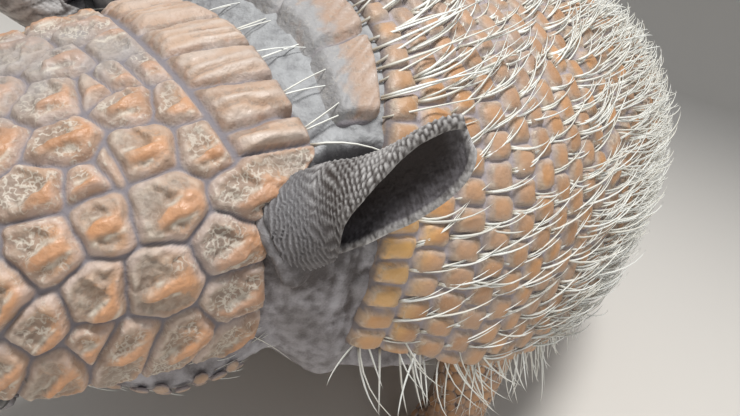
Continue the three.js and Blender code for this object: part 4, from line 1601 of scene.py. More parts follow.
def stud_piece(name, places, normals, along, radii, wear, seed):
    """Many small domed scutes joined in one mesh, each a closed lens of a few faces."""
    count = len(places)
    along = unit(along - normals * (along * normals).sum(-1, keepdims=True))
    across = np.cross(normals, along)
    sine, cosine = rounded(around(STUD_SIDES), 2)
    corner = np.stack(np.meshgrid(np.arange(count), np.arange(STUD_SIDES), indexing="ij"), -1)
    ragged = 1 + STUD_RAGGED * (hashed(corner, seed) - 0.5)
    rings = []
    for share, rise, _, _ in STUD_RINGS:
        reach = radii[:, None] * share * ragged
        rings.append(
            places[:, None]
            + (reach * cosine)[..., None] * along[:, None] * STUD_LENGTH
            + (reach * sine)[..., None] * across[:, None]
            + (rise * radii[:, None] * STUD_HEIGHT)[..., None] * normals[:, None]
        )
    under = places - normals * STUD_BURIED * radii[:, None]
    peak = places + normals * STUD_PEAK * radii[:, None]
    points = np.concatenate([np.stack(rings, 1).reshape(count, -1, 3), under[:, None], peak[:, None]], 1)
    per = points.shape[1]
    faces = stack_faces(np.arange(count) * per, STUD_SIDES, len(STUD_RINGS), per - 2, per - 1)
    tone = np.repeat(hashed(np.arange(count)[:, None], seed + 1), per)
    edge, crest = (
        np.tile(np.append(np.repeat([ring[k] for ring in STUD_RINGS], STUD_SIDES), [0.0, 1.0]), count)
        for k in (2, 3)
    )
    wear_and_relief_light = np.repeat(wear.ravel(), per)
    values = {"edge": edge, "ridge": crest * (1 - 0.8 * wear_and_relief_light), "tone": tone, "rim": 1 - crest}
    values["dust"] = mix(0.35 * tone, 0.6 + 0.4 * tone, wear_and_relief_light)
    studs = new_piece(name, points.reshape(-1, 3), faces, values)
    turn_outward(studs)
    return studs


def on_surface(point, a, b, step=0.4):
    """Places, outward normals and the direction of growing a, on a surface point(a, b)."""
    place = point(a, b)
    along = unit(point(a + step, b) - place)
    across = point(a, b + step) - place
    return place, unit(np.cross(along, across)), along


def leg_point(leg, side):
    """Surface of a leg by the share of its length and degrees round it, 0 outward, 90 forward."""
    x, y, z, across, deep = along_table(leg)

    def at(t, degrees):
        ahead, aside = rounded(degrees, 2)
        return joined(side * (x(t) + across(t) * aside), y(t) - deep(t) * ahead, z(t))

    return at


def foot_point(shape, side):
    """Top of a foot as a function of the share from heel to toes and degrees across it, 0 outward."""
    x, stations = shape
    y, half, height = along_table(stations)

    def at(t, degrees):
        across, up = paw_section(degrees)
        return joined(side * (x + half(t) * across), y(t), height(t) / 2 * (1 + up))

    return at


def staggered(low, high, rows, left, right, cols, seed):
    """Offset rows of (a, b) places with a little disorder."""
    a, b = np.meshgrid(np.arange(rows), np.arange(cols), indexing="ij")
    jitter = hashed(joined(a, b), seed) - 0.5
    first = low + (a + 0.5 + 0.25 * jitter) / rows * (high - low)
    second = left + (b + 0.5 + 0.5 * (a % 2) - 0.25 + 0.2 * jitter) / cols * (right - left)
    return first.ravel(), second.ravel()


def cheek_point(forward, degrees):
    return head_point(forward, degrees, cheek_depth(forward, degrees) - 0.3)


# rows of small scutes: first and last place along, rows, first and last degrees round, columns, seed
LEG_STUDS = {"fore": (0.42, 0.97, 10, -20, 130, 9, 91), "hind": (0.42, 0.97, 10, 10, 120, 9, 91)}
PAW_STUDS = (0.3, 0.93, 8, 15, 165, 8, 92)
CHEEK_STUDS = (12, 42, 9, 117, 140, 4, 93)
MUZZLE_STUDS = (88, 107, 6, -4, 84, 6, 97)


def limb_studs():
    """Horny scutes over the front and outer sides of the legs, the backs of the feet and the face."""
    sets = []  # surface, rows, radius, wear, and the small step over the surface that gives its directions
    for side in SIDES:
        for kind, rows in LEG_STUDS.items():
            leg, paw, _ = limb(kind, side)
            sets.append((leg_point(leg, side), rows, 2.3, 0.1, 0.03))
            sets.append((foot_point(paw, side), PAW_STUDS, 1.9, 0.2, 0.03))
        sets.append((lambda a, b, side=side: cheek_point(a, side * b), CHEEK_STUDS, 1.45, 0.5, 0.5))
        sets.append((lambda a, b, side=side: head_point(a, side * b, 0.8), MUZZLE_STUDS, 1.75, 0.85, 0.5))
    gathered = []
    for surface, rows, radius, wear_and_relief_light, step in sets:
        a, b = staggered(*rows)
        place, normal, along = on_surface(surface, a, b, step)
        middle = surface(a, b * 0 + np.mean(b)).mean(0)
        inside = mix(place.mean(0), middle, -1.5)
        facing = np.sign((normal * (place - inside)).sum(-1))
        outward = normal * np.where(np.median(facing) < 0, -1, 1)
        radii = radius * (0.8 + 0.4 * hashed(np.arange(len(a))[:, None], 94))
        gathered.append((place, outward, along, radii, np.full(len(a), wear_and_relief_light)))
    return stud_piece("limb_scutes", *(np.concatenate(part) for part in zip(*gathered)), seed=95)


# ---------------- bristles
BRISTLE_STEPS = 6
BRISTLE_SIDES = 3
BRISTLE_TAPER = 0.72
MARGIN_HAIRS = 250  # on each side, as are the next two
LEG_HAIRS = 420
CHEEK_HAIRS = 150
BELLY_ROW = 7.5  # distance between the belly's rows of hair
ROOT_PATCH = 0.003  # width of each bristle's patch on the piece's chart


class Hair(NamedTuple):
    """One kind of bristle, in millimetres. Pairs are the middle and the spread."""

    length: tuple
    width: float
    lift: tuple  # how far it stands up, as a share of its length
    curl: tuple  # how far it bends aside, as a share of its length
    fan: float  # spread of its direction in degrees
    sink: float = 0.6  # depth of its root


HAIR = {
    "shoulder_front": Hair((23, 5), 0.72, (0.26, 0.08), (0.3, 0.08), 4),
    "shoulder": Hair((15, 2.8), 0.72, (0.17, 0.06), (0.3, 0.08), 4),
    "shoulder_rear": Hair((19, 3.5), 0.72, (0.36, 0.14), (0.3, 0.08), 4),
    "band": Hair((25, 4.5), 0.68, (0.42, 0.1), (0.12, 0.06), 4),
    "pelvis_front": Hair((22, 4), 0.62, (0.38, 0.1), (0.12, 0.1), 10),
    "pelvis_rear": Hair((17, 4), 0.5, (0.3, 0.12), (0.12, 0.1), 10),
    "margin": Hair((17, 4), 0.6, (0.12, 0.12), (0.3, 0.25), 18),
    "occipital": Hair((17, 2.5), 0.4, (0.2, 0.08), (0.02, 0.08), 9, 1.0),
    "nuchal": Hair((32, 5), 0.66, (0.2, 0.07), (0.06, 0.08), 7, 1.0),
    "nape_corner": Hair((17, 0.1), 0.6, (0.42, 0.01), (-0.3, 0.01), 1, 2.0),
    "belly": Hair((13, 3), 0.3, (0.35, 0.15), (0, 0.2), 24),
    "leg": Hair((8.5, 2.2), 0.26, (0.3, 0.12), (0, 0.25), 22),
    "cheek": Hair((7, 2), 0.24, (0.3, 0.12), (0, 0.2), 20),
}


def bristle_piece(name, roots, aims, normals, bends, lengths, widths, lifts, curls, chart):
    """Closed three-sided tapering bristles. Each rises by lift and bends aside by curl over its length."""
    count = len(roots)
    t = np.arange(BRISTLE_STEPS) / BRISTLE_STEPS
    share = np.append(t, 1.0)
    rise = (lifts[:, None] * share * (1 - 0.55 * share))[..., None] * normals[:, None]
    sway = (curls[:, None] * share**2)[..., None] * bends[:, None]
    ahead = (share * (1 - 0.12 * share))[None, :, None] * aims[:, None]
    line = roots[:, None] + lengths[:, None, None] * (ahead + rise + sway)
    tangent = unit(np.gradient(line, axis=1))
    across = unit(np.cross(tangent, normals[:, None]))
    high = np.cross(across, tangent)
    radius = (widths[:, None] / 2 * (1 - BRISTLE_TAPER * t**1.4)[None])[..., None]
    rings = []
    for angle in np.radians(around(BRISTLE_SIDES)):
        aside = math.cos(angle) * across[:, :-1] + math.sin(angle) * high[:, :-1]
        rings.append(line[:, :-1] + radius * aside)
    points = np.concatenate([np.stack(rings, 2).reshape(count, -1, 3), line[:, -1:]], 1)
    per = points.shape[1]
    first = np.arange(count) * per
    faces = stack_faces(first, BRISTLE_SIDES, BRISTLE_STEPS, over=per - 1)
    faces += (first[:, None] + (0, 2, 1)).tolist()
    along = np.append(np.repeat(t, BRISTLE_SIDES), 1.0)
    tone = np.repeat(hashed(np.arange(count)[:, None], 101), per)
    coat = new_piece(name, points.reshape(-1, 3), faces, {"along": np.tile(along, count), "tone": tone})
    patch = joined(np.append(np.tile([-0.4, 0.0, 0.4], BRISTLE_STEPS), 0.0), along - 0.5)
    spots = (chart[:, None] + ROOT_PATCH * patch[None]).reshape(-1, 2)
    corners = np.empty(len(coat.data.loops), np.int64)
    coat.data.loops.foreach_get("vertex_index", corners)
    layer = coat.data.uv_layers.new(name="OFBake")
    layer.data.foreach_set("uv", spots[corners].astype(np.float32).ravel())
    return coat


def turned(frame, degrees):
    """A frame's direction of growth turned that far towards its upslope."""
    place, normal, along, upslope, chart = frame
    turn = np.radians(degrees)[:, None]
    return place, normal, along * np.cos(turn) + upslope * np.sin(turn), upslope, chart


class Coat:
    """Gathers the bristles that fill(coat, draw) adds set by set, then makes one piece of them."""

    def __init__(self, name, fill, seed):
        self.name = name
        self.random = np.random.default_rng(seed)
        self.sets = []
        fill(self, self.random)

    def add(self, frame, hair, wanted=...):
        """Bristles at a frame's places: arrays of place, normal, growth, upslope and place on the chart."""
        frame = [part[wanted] for part in frame]
        count = len(frame[0])
        if not count:
            return
        draw = self.random
        place, normal, along, upslope, chart = turned(frame, draw.normal(0, hair.fan, count))
        shortest, longest = hair.length[0] * 0.5, hair.length[0] * 1.6
        self.sets.append(
            (
                place - hair.sink * normal,
                unit(along),
                normal,
                upslope,
                np.clip(draw.normal(*hair.length, count), shortest, longest),
                hair.width * draw.uniform(0.8, 1.2, count),
                np.clip(draw.normal(*hair.lift, count), 0.03, 1.2),
                draw.normal(*hair.curl, count),
                chart,
            )
        )

    def piece(self):
        return bristle_piece(self.name, *(np.concatenate(part) for part in zip(*self.sets)))


CHART_DEGREES = 260.0  # the chart's width
CHART_START = -160.0  # y at the chart's lower edge
CHART_LENGTH = 330.0


def on_chart(degrees, y):
    return joined(0.5 + degrees / CHART_DEGREES, (y - CHART_START) / CHART_LENGTH)


def carapace_roots(y, arc):
    """The carapace's frame at y and signed girth from the midline."""
    size = np.abs(arc)
    low, high = np.zeros_like(size), np.full_like(size, 125.0)
    for _ in range(24):
        middle = (low + high) / 2
        short = carapace_arc(y, middle) < size
        low, high = np.where(short, middle, low), np.where(short, high, middle)
    return carapace_frame(y, np.sign(arc) * (low + high) / 2)


def carapace_frame(y, degrees):
    """Place, normal, direction rearward and upslope, and place on the chart."""
    place = carapace_point(y, degrees)
    along = unit(carapace_point(y + 0.5, degrees) - place)
    down = unit(carapace_point(y, degrees + 0.5 * np.where(degrees < 0, -1, 1)) - place)
    normal = turned_away(unit(np.cross(along, down)), place - joined(0, y, level(y)))
    return place, normal, along, -down, on_chart(degrees, y)


def head_frame(point, forward, degrees, inner):
    """Frame of a surface of the head; inner is the depth of a point inside it."""
    place = point(forward, degrees)
    rearward = unit(point(forward - 1, degrees) - place)
    across = unit(point(forward, degrees + 1) - place)
    normal = turned_away(unit(np.cross(across, rearward)), place - head_point(forward, degrees, inner))
    return place, normal, rearward, across


def every_scute(rows, columns):
    """Row and column of each scute on both sides of the midline."""
    row, column = np.meshgrid(np.arange(rows), np.arange(-columns, columns), indexing="ij")
    return row.ravel(), column.ravel()


LATE_ROW = 6  # behind this row the shoulder's bristles are longer and stand up
# chance of each of a scute's five bristles, before and behind that row
SHOULDER_CHANCES = np.array([(1, 0.85, 0.5, 0.1, 0), (1, 1, 1, 0.9, 0.8)])


def shoulder_coat(coat, draw):
    """Small bundles of bristles from the hind edges of the shoulder's scutes."""
    row, column = every_scute(SHOULDER_ROWS, SHOULDER_COLUMNS)
    bundle_place = draw.uniform(-0.2, 0.2, len(row))
    bundle_turn = draw.normal(0, 9, len(row))
    for chance in SHOULDER_CHANCES.T:
        wanted = draw.random(len(row)) < chance[(row > LATE_ROW).astype(int)]
        r, c = row[wanted], column[wanted]
        late = r > LATE_ROW
        share = (r + 0.93) / SHOULDER_ROWS
        loose = draw.uniform(-1, 1, len(r)) * np.where(late, 0.3, 0.09)
        across = c + 0.5 - (r % 2) * SHOULDER_BRICK + bundle_place[wanted] + loose
        degrees = across / SHOULDER_COLUMNS * SHOULDER_MARGIN_ANGLE
        for _ in range(3):
            y = mix(scapular_front(degrees), SCAPULAR_REAR, share)
            frame = carapace_roots(y, across * girth(y) / SHOULDER_COLUMNS)
            degrees = (frame[4][:, 0] - 0.5) * CHART_DEGREES
        frame = turned(frame, bundle_turn[wanted])
        first = (r < 3) & (np.abs(degrees) < 54)
        coat.add(frame, HAIR["shoulder_front"], first)
        coat.add(frame, HAIR["shoulder"], ~first & ~late)
        coat.add(frame, HAIR["shoulder_rear"], late)


def back_coat(coat, draw):
    """Bristles from the hind edges of the bands' and the pelvic shield's scutes."""
    for number in range(BAND_COUNT):
        y_edge = SCAPULAR_REAR + BAND_WIDTH * (number + 1) - 1.2
        reach = float(girth(np.array(y_edge)))
        bundle = np.arange(-reach + 2, reach - 2, 3.3)
        bundle = bundle + draw.uniform(-0.9, 0.9, len(bundle))
        turn = np.repeat(draw.normal(0, 7, len(bundle)), 3)
        arc = np.repeat(bundle, 3) + draw.uniform(-0.7, 0.7, 3 * len(bundle))
        coat.add(turned(carapace_roots(np.full_like(arc, y_edge), arc), turn), HAIR["band"])
    row, column = every_scute(PELVIC_ROWS, PELVIC_COLUMNS)
    length = (PELVIC_REAR - BANDS_REAR) / PELVIC_ROWS
    thick = ramp(7, 0, row)
    for share in (1, 0.55 + 0.45 * thick, thick, 0.8 * thick):
        wanted = draw.random(len(row)) < share
        r, c = row[wanted], column[wanted]
        across = c + 0.5 - (r % 2) * 0.5 + draw.uniform(-0.3, 0.3, len(r))
        y = np.minimum(BANDS_REAR + (r + 0.9) * length, PELVIC_REAR - 9)
        frame = carapace_roots(y, across * girth(y) / PELVIC_COLUMNS)
        coat.add(frame, HAIR["pelvis_front"], r <= 3)
        coat.add(frame, HAIR["pelvis_rear"], r > 3)


def margin_coat(coat, draw):
    """Bristles that hang and stand out from under the carapace's side margins."""
    for side in SIDES:
        y = np.sort(draw.uniform(-149, 146, MARGIN_HAIRS))
        degrees = side * (margin_angle(y) - draw.uniform(-1, 5, len(y)))
        place, normal, along, upslope, chart = carapace_frame(y, degrees)
        down = unit(-upslope + 0.45 * normal + 0.35 * along)
        coat.add((place - 1.5 * normal, normal, down, along, chart), HAIR["margin"])


def nape_coat(coat, draw):
    """Pairs of long pale bristles from the hind edges of the occipital and nuchal scutes."""
    degrees = np.array([seed[1] for seed in OCCIPITAL_SCUTES for _ in range(2)], float)
    degrees = degrees + draw.uniform(-2.6, 2.6, 16)
    forward = shield_rear(np.abs(degrees)) + 1.2
    place, normal, rearward, across = head_frame(head_point, forward, degrees, 5.0)
    coat.add((place, normal, rearward, -across, on_chart(degrees, -140.2)), HAIR["occipital"])
    degrees = np.repeat(np.arange(-44, 45, 8.0), 3) + draw.uniform(-3, 3, 36)
    place = nape_point(np.full_like(degrees, 0.92), degrees)
    along = unit(nape_point(np.ones_like(degrees), degrees) - nape_point(np.zeros_like(degrees), degrees))
    across = unit(place - nape_point(np.full_like(degrees, 0.92), degrees - 2))
    normal = unit(np.cross(across, along))
    normal *= np.sign(normal[:, 2:3])
    coat.add((place, normal, along, -across, on_chart(degrees, -127)), HAIR["nuchal"])
    for side in SIDES:
        place = nape_point(0.0, side * 53.0)[None]
        along = unit(nape_point(0.5, side * 52.0) - place)
        across = unit(nape_point(0.0, side * 48.0) - place)
        normal = unit(np.cross(along, across)) * side
        coat.add((place, normal, along, across, np.array([[0.5 + side * 0.3, 0.14]])), HAIR["nape_corner"])


def belly_coat(coat, draw):
    """Rows of bristles across the belly and flanks, longer hair on the legs and a few on the cheeks."""
    for y_row in np.arange(-112, 146, BELLY_ROW):
        degrees = np.arange(112, 249, 3.4)
        degrees = degrees + draw.uniform(-1.4, 1.4, len(degrees))
        y = y_row + draw.uniform(-2, 2, len(degrees))
        place, normal, along = on_surface(trunk_point, y, degrees, 0.5)
        normal = turned_away(normal, place - joined(0, y, level(y)))
        chart = joined(degrees / 360, (y - CHART_START) / CHART_LENGTH)
        coat.add((place, normal, along, np.cross(normal, along), chart), HAIR["belly"])
    corner = 0
    for side in SIDES:
        for kind in LIMBS:
            surface = leg_point(limb(kind, side)[0], side)
            t = draw.uniform(0.12, 0.95, LEG_HAIRS)
            degrees = draw.uniform(0, 360, LEG_HAIRS)
            place, normal, along = on_surface(surface, t, degrees, 0.02)
            normal = turned_away(normal, place - surface(t, degrees + 180))
            chart = joined(0.02 + 0.24 * corner + degrees / 360 * 0.2, 0.02 + 0.1 * t)
            coat.add((place, normal, along, np.cross(normal, along), chart), HAIR["leg"])
            corner += 1
        forward = draw.uniform(0, 88, CHEEK_HAIRS)
        degrees = side * draw.uniform(100, 165, CHEEK_HAIRS)
        place, normal, rearward, across = head_frame(cheek_point, forward, degrees, 9.0)
        chart = joined(0.5 + degrees / 400, 0.9 + forward / 1200)
        coat.add((place, normal, rearward, across, chart), HAIR["cheek"])


COATS = [
    ("shoulder_bristles", shoulder_coat, 11),
    ("back_bristles", back_coat, 12),
    ("margin_bristles", margin_coat, 13),
    ("nape_bristles", nape_coat, 14),
    ("belly_bristles", belly_coat, 15),
]


# ---------------- materials
def srgb(red, green, blue):
    """Linear colour from display values of 0 to 255."""
    def channel(value):
        value /= 255
        return value / 12.92 if value <= 0.04045 else ((value + 0.055) / 1.055) ** 2.4

    return (channel(red), channel(green), channel(blue), 1.0)


class Nodes:
    """The nodes of a material or a node group, with short ways to add and join them."""

    def __init__(self, tree):
        self.tree = tree

    def join(self, made, inputs):
        """Sets a node's inputs, each to a value or to another node's output."""
        for key, value in inputs.items():
            if isinstance(value, bpy.types.NodeSocket):
                self.tree.links.new(value, made.inputs[key])
            else:
                made.inputs[key].default_value = value

    def node(self, kind, inputs=None, **settings):
        made = self.tree.nodes.new(kind)
        for key, value in settings.items():
            setattr(made, key, value)
        self.join(made, inputs or {})
        return made

    def maths(self, operation, *values):
        return self.node("ShaderNodeMath", dict(enumerate(values)), operation=operation).outputs[0]

    def add(self, *values):
        return self.maths("ADD", *values)

    def times(self, *values):
        return self.maths("MULTIPLY", *values)

    def blend(self, share, first, second):
        """The first colour where share is 0 and the second where it is 1."""
        inputs = {0: share, 6: first, 7: second}
        return self.node("ShaderNodeMix", inputs, data_type="RGBA", clamp_factor=True).outputs[2]

    def spread(self, value, low, high, new_low=0.0, new_high=1.0):
        """A smooth step from new_low to new_high as value goes from low to high."""
        inputs = {0: value, 1: low, 2: high, 3: new_low, 4: new_high}
        return self.node("ShaderNodeMapRange", inputs, interpolation_type="SMOOTHSTEP").outputs[0]

    def mask(self, name):
        """A value that the mesh carries at its points."""
        return self.node("ShaderNodeAttribute", attribute_name=name).outputs["Fac"]

    def place(self):
        return self.node("ShaderNodeTexCoord").outputs["Object"]

    def noise(self, place, scale, detail, **more):
        inputs = {"Vector": place, "Scale": scale, "Detail": detail, **more}
        return self.node("ShaderNodeTexNoise", inputs).outputs[0]

    def bump(self, height, strength, distance):
        inputs = {"Height": height, "Strength": strength, "Distance": distance}
        return self.node("ShaderNodeBump", inputs).outputs[0]


class Finish(Nodes):
    """A material with one principled shader."""

    def __init__(self, name):
        self.material = bpy.data.materials.new(name)
        self.material.use_nodes = True
        super().__init__(self.material.node_tree)

    def shade(self, inputs):
        self.join(self.tree.nodes["Principled BSDF"], inputs)


def crust_group():
    """Patches of dry crust over horn: a mask of pale flakes, which also serve as painted highlights on shiny
    granules, one of dirt, and the height of both.
    """
    tree = bpy.data.node_groups.new("dry_crust", "ShaderNodeTree")
    for way, labels in (("INPUT", ("Size", "Amount")), ("OUTPUT", ("Flakes_and_glints", "Dirt", "Height"))):
        for label in labels:
            tree.interface.new_socket(label, in_out=way, socket_type="NodeSocketFloat")
    crust = Nodes(tree)
    enter, leave = crust.node("NodeGroupInput"), crust.node("NodeGroupOutput")
    place = crust.place()
    scale = crust.maths("DIVIDE", 1.0, enter.outputs["Size"])
    coarse = crust.noise(place, scale, 4.0, Roughness=0.65)
    fine = crust.noise(place, crust.times(scale, 1.35), 1.5, Roughness=0.5)
    amount = enter.outputs["Amount"]
    dirt = crust.spread(crust.add(coarse, crust.times(amount, 0.3)), 0.56, 0.74)
    off_level = crust.maths("ABSOLUTE", crust.maths("SUBTRACT", fine, 0.5))
    squiggles = crust.spread(off_level, 0.015, 0.085, 1.0, 0.0)
    crusted = crust.add(coarse, crust.times(amount, 0.16))
    flakes_and_glints = crust.times(squiggles, crust.spread(crusted, 0.46, 0.62))
    height = crust.add(coarse, crust.times(fine, 0.6))
    crust.join(leave, {"Flakes_and_glints": flakes_and_glints, "Dirt": dirt, "Height": height})
    return tree


SCUTE_MASKS = ("edge", "rim", "ridge", "flake", "pit", "tone", "kind", "dust", "bright", "crumb", "warm")
HORN_PATCHES = 210.0  # how many patches of colour there are to a metre
SHOULDER_MARGIN = srgb(122, 114, 114)


def scute_material(name, colours, crust_tree, crust_size, gloss):
    """Horn-covered scutes: grooves, pale margins, glossy ridges and dirt, placed by the mesh's own masks,
    with painted highlights on the fine crumbs and the scattered flakes, painted shade in the crumbs' lows,
    and painted shade in the furrows of the nape's and the occipital scutes.
    """
    horn = Finish(name)
    edge, rim, ridge, flake, pit, tone, kind, dust, bright, crumb, warm = map(horn.mask, SCUTE_MASKS)
    crust = horn.node("ShaderNodeGroup", {}, node_tree=crust_tree)
    horn.join(crust, {"Size": crust_size, "Amount": pit})
    patches = horn.noise(horn.place(), HORN_PATCHES, 4.0)
    ridge_share = horn.spread(horn.add(ridge, horn.times(patches, 0.9)), 0.55, 1.4)
    colour = horn.blend(horn.spread(patches, 0.35, 0.65), colours["plate"], colours["plate_warm"])
    # painted highlight on the tops of the fine crumbs and painted shade in their lows, from the colours high
    # and low
    wear_and_relief_light = horn.blend(crumb, colours["low"], colours["high"])
    colour = horn.blend(horn.spread(rim, 0.0, 1.0, 0.75, 0.35), colour, wear_and_relief_light)
    warm_share = horn.times(warm, horn.spread(patches, 0.35, 0.6, 0.45, 0.95))
    colour = horn.blend(warm_share, colour, colours["warm"])
    colour = horn.blend(ridge_share, colour, colours["ridge"])
    back_share = horn.spread(horn.add(ridge, horn.times(patches, 0.5)), 0.4, 1.2)
    back = horn.blend(back_share, colours["back_low"], colours["back"])
    # painted shade: the nape's and the occipital scutes darker in their furrows and along their edges
    back = horn.blend(horn.spread(pit, 0.2, 0.8, 0.0, 0.8), back, colours["dark"])
    colour = horn.blend(kind, colour, back)
    colour = horn.blend(horn.spread(tone, 0.3, 1.0, 0.0, 0.45), colour, colours["dark"])
    colour = horn.blend(bright, colour, colours["bright"])
    pale = horn.times(rim, horn.spread(patches, 0.4, 0.62, 0.05, 0.6))
    colour = horn.blend(pale, colour, colours["rim"])
    low = horn.times(crust.outputs["Dirt"], horn.spread(ridge, 0.3, 0.8, 0.55, 0.1))
    colour = horn.blend(low, colour, colours["dirt"])
    dusty = horn.times(dust, horn.spread(patches, 0.3, 0.6, 0.45, 0.95))
    colour = horn.blend(horn.times(dusty, 0.8), colour, colours["dust"])
    # pale crust flakes, which are partly painted highlights on the shiny granules in the pits
    scattered_flakes_and_glints = horn.times(crust.outputs["Flakes_and_glints"], horn.spread(ridge, 0.2, 0.8, 0.62, 0.08))
    scattered_flakes_and_glints = horn.times(scattered_flakes_and_glints, horn.spread(tone, 0.25, 0.75, 0.15, 1.0))
    scattered_flakes_and_glints = horn.times(scattered_flakes_and_glints, horn.spread(kind, 0.0, 1.0, 1.0, 0.25))
    flakes_and_glints = horn.maths("MAXIMUM", scattered_flakes_and_glints, horn.times(flake, 0.7))
    colour = horn.blend(flakes_and_glints, colour, colours["flake"])
    groove = horn.blend(horn.mask("margin"), colours["groove"], SHOULDER_MARGIN)
    colour = horn.blend(edge, groove, colour)
    polish = horn.spread(ridge_share, 0.0, 1.0, 0.64, gloss)
    glint = horn.times(crumb, horn.spread(patches, 0.4, 0.65, 0.0, 0.16))
    polish = horn.maths("SUBTRACT", polish, glint)
    roughness = horn.maths("MAXIMUM", polish, horn.spread(edge, 0.2, 1.0, 0.85, 0.0))
    bump = horn.bump(crust.outputs["Height"], 0.6, 0.0006)
    horn.shade({"Base Color": colour, "Roughness": roughness, "Normal": bump, "Specular IOR Level": 0.5})
    return horn.material


# colours of the horn on the head and the nape, then on the body
HORN_COLOURS = {
    "plate": ((172, 154, 141), (170, 146, 124)),
    "plate_warm": ((184, 158, 138), (184, 150, 120)),
    # low and high: painted shade in the lows of the fine crumbs and painted highlight on their tops
    "low": ((138, 121, 109), (138, 116, 96)),
    "high": ((202, 190, 174), (196, 176, 152)),
    "warm": ((190, 148, 114), (190, 146, 104)),
    "ridge": ((202, 150, 110), (194, 144, 98)),
    "back": ((206, 192, 181), (206, 184, 170)),
    "back_low": ((184, 156, 134), (160, 146, 142)),
    # dark: scutes darker at random, and painted shade in the furrows and along the edges of the nape's and
    # the occipital scutes
    "dark": ((150, 116, 94), (146, 108, 78)),
    "bright": ((226, 176, 112), (230, 182, 112)),
    "rim": ((200, 186, 180), (196, 178, 166)),
    "dirt": ((140, 127, 116), (140, 124, 110)),
    "dust": ((154, 153, 154), (158, 151, 147)),
    # flake: pale crust flakes; the scattered ones are partly painted highlights on shiny granules
    "flake": ((216, 209, 195), (214, 200, 180)),
    "groove": ((126, 121, 126), (164, 156, 160)),
}
HEAD_COLOURS, BODY_COLOURS = (
    {key: srgb(*pair[k]) for key, pair in HORN_COLOURS.items()} for k in (0, 1)
)
SKIN_COLOURS = {
    "blotch_dark": srgb(148, 144, 146),
    "blotch_pale": srgb(174, 171, 176),
    "nape": srgb(166, 168, 170),
    "tops_and_root_shade": srgb(74, 67, 66),
    "nape_crease": srgb(114, 114, 117),
    # shaded_ear_root_crease and shaded_ear_root_top: painted shade at the ears' roots
    "shaded_ear_root_crease": srgb(76, 68, 66),
    "ear_crease": srgb(54, 46, 43),
    "shaded_ear_root_top": srgb(128, 122, 121),
    "ear_top": srgb(186, 184, 183),
    "belly_crease": srgb(104, 84, 74),
    "belly_top": srgb(158, 134, 118),
    "paw_crease": srgb(84, 70, 62),
    "paw_top": srgb(142, 122, 106),
    "nose_crease": srgb(96, 70, 66),
    "nose_top": srgb(158, 124, 116),
    "nostril": srgb(38, 26, 24),
    "lining": srgb(106, 103, 107),
    "deep_lining": srgb(46, 37, 35),
    "lining_crease": srgb(40, 33, 31),
}
NAPE_HEIGHTS = (0.098, 0.135)  # metres over which the paler skin of the nape begins


def skin_material():
    """Bare skin: pale granule tops, dark creases, the ear's dark lining and the warmer belly and feet; the
    top mask also carries painted shade by the ears and on the neck, and the ears' roots are painted in shade.
    """
    skin = Finish("bare_skin")
    colours = SKIN_COLOURS
    top_mask, inside, under, foot, ear = map(skin.mask, ("top", "inside", "belly", "foot", "ear"))
    place = skin.place()
    blotch = skin.noise(place, 90.0, 3.0)
    pores = skin.node("ShaderNodeTexVoronoi", {"Vector": place, "Scale": 1150.0}, feature="F1").outputs[0]
    grain = skin.noise(place, 2300.0, 2.0)
    high = skin.spread(skin.add(top_mask, skin.times(grain, 0.35)), 0.1, 1.2)
    height = skin.node("ShaderNodeSeparateXYZ", {0: place}).outputs[2]
    upper = skin.spread(height, *NAPE_HEIGHTS)
    tops = skin.blend(skin.spread(blotch, 0.35, 0.65), colours["blotch_dark"], colours["blotch_pale"])
    tops = skin.blend(upper, tops, colours["nape"])
    colour = skin.blend(high, skin.blend(upper, colours["tops_and_root_shade"], colours["nape_crease"]), tops)
    # the ear's root in painted shade, darker than the rest of the ear
    ear_low = skin.blend(ear, colours["shaded_ear_root_crease"], colours["ear_crease"])
    ear_high = skin.blend(ear, colours["shaded_ear_root_top"], colours["ear_top"])
    colour = skin.blend(ear, colour, skin.blend(high, ear_low, ear_high))
    colour = skin.blend(under, colour, skin.blend(high, colours["belly_crease"], colours["belly_top"]))
    colour = skin.blend(foot, colour, skin.blend(high, colours["paw_crease"], colours["paw_top"]))
    nose = skin.mask("nose")
    colour = skin.blend(nose, colour, skin.blend(high, colours["nose_crease"], colours["nose_top"]))
    colour = skin.blend(skin.mask("nostril"), colour, colours["nostril"])
    lining = skin.blend(skin.mask("hollow"), colours["lining"], colours["deep_lining"])
    lining = skin.blend(skin.spread(top_mask, 0.1, 1.0, 0.7, 0.0), lining, colours["lining_crease"])
    colour = skin.blend(inside, colour, lining)
    bump = skin.bump(skin.add(grain, skin.times(pores, 0.8)), 0.5, 0.0003)
    roughness = skin.spread(nose, 0.0, 1.0, 0.62, 0.36)
    skin.shade({"Base Color": colour, "Normal": bump, "Roughness": roughness, "Specular IOR Level": 0.4})
    return skin.material


BRISTLE_COLOURS = [srgb(196, 186, 168), srgb(222, 220, 210), srgb(238, 240, 236)]  # root, then two tones
CLAW_COLOURS = [srgb(118, 96, 74), srgb(206, 186, 152)]  # at the root and at the tip
CLAW_GRAIN = srgb(142, 118, 90)
CLAW_DIRT = srgb(92, 74, 58)
IRIS_COLOURS = [srgb(30, 20, 16), srgb(58, 38, 28)]
PUPIL_COLOUR = srgb(10, 8, 8)


def bristle_material():
    """Pale translucent-looking bristles, browner at the root."""
    bristle = Finish("bristle_hair")
    along, tone = bristle.mask("along"), bristle.mask("tone")
    root, *shaft = BRISTLE_COLOURS
    pale = bristle.blend(tone, *shaft)
    colour = bristle.blend(bristle.spread(along, 0.0, 0.12), root, pale)
    bristle.shade({"Base Color": colour, "Roughness": 0.42, "Specular IOR Level": 0.5})
    return bristle.material


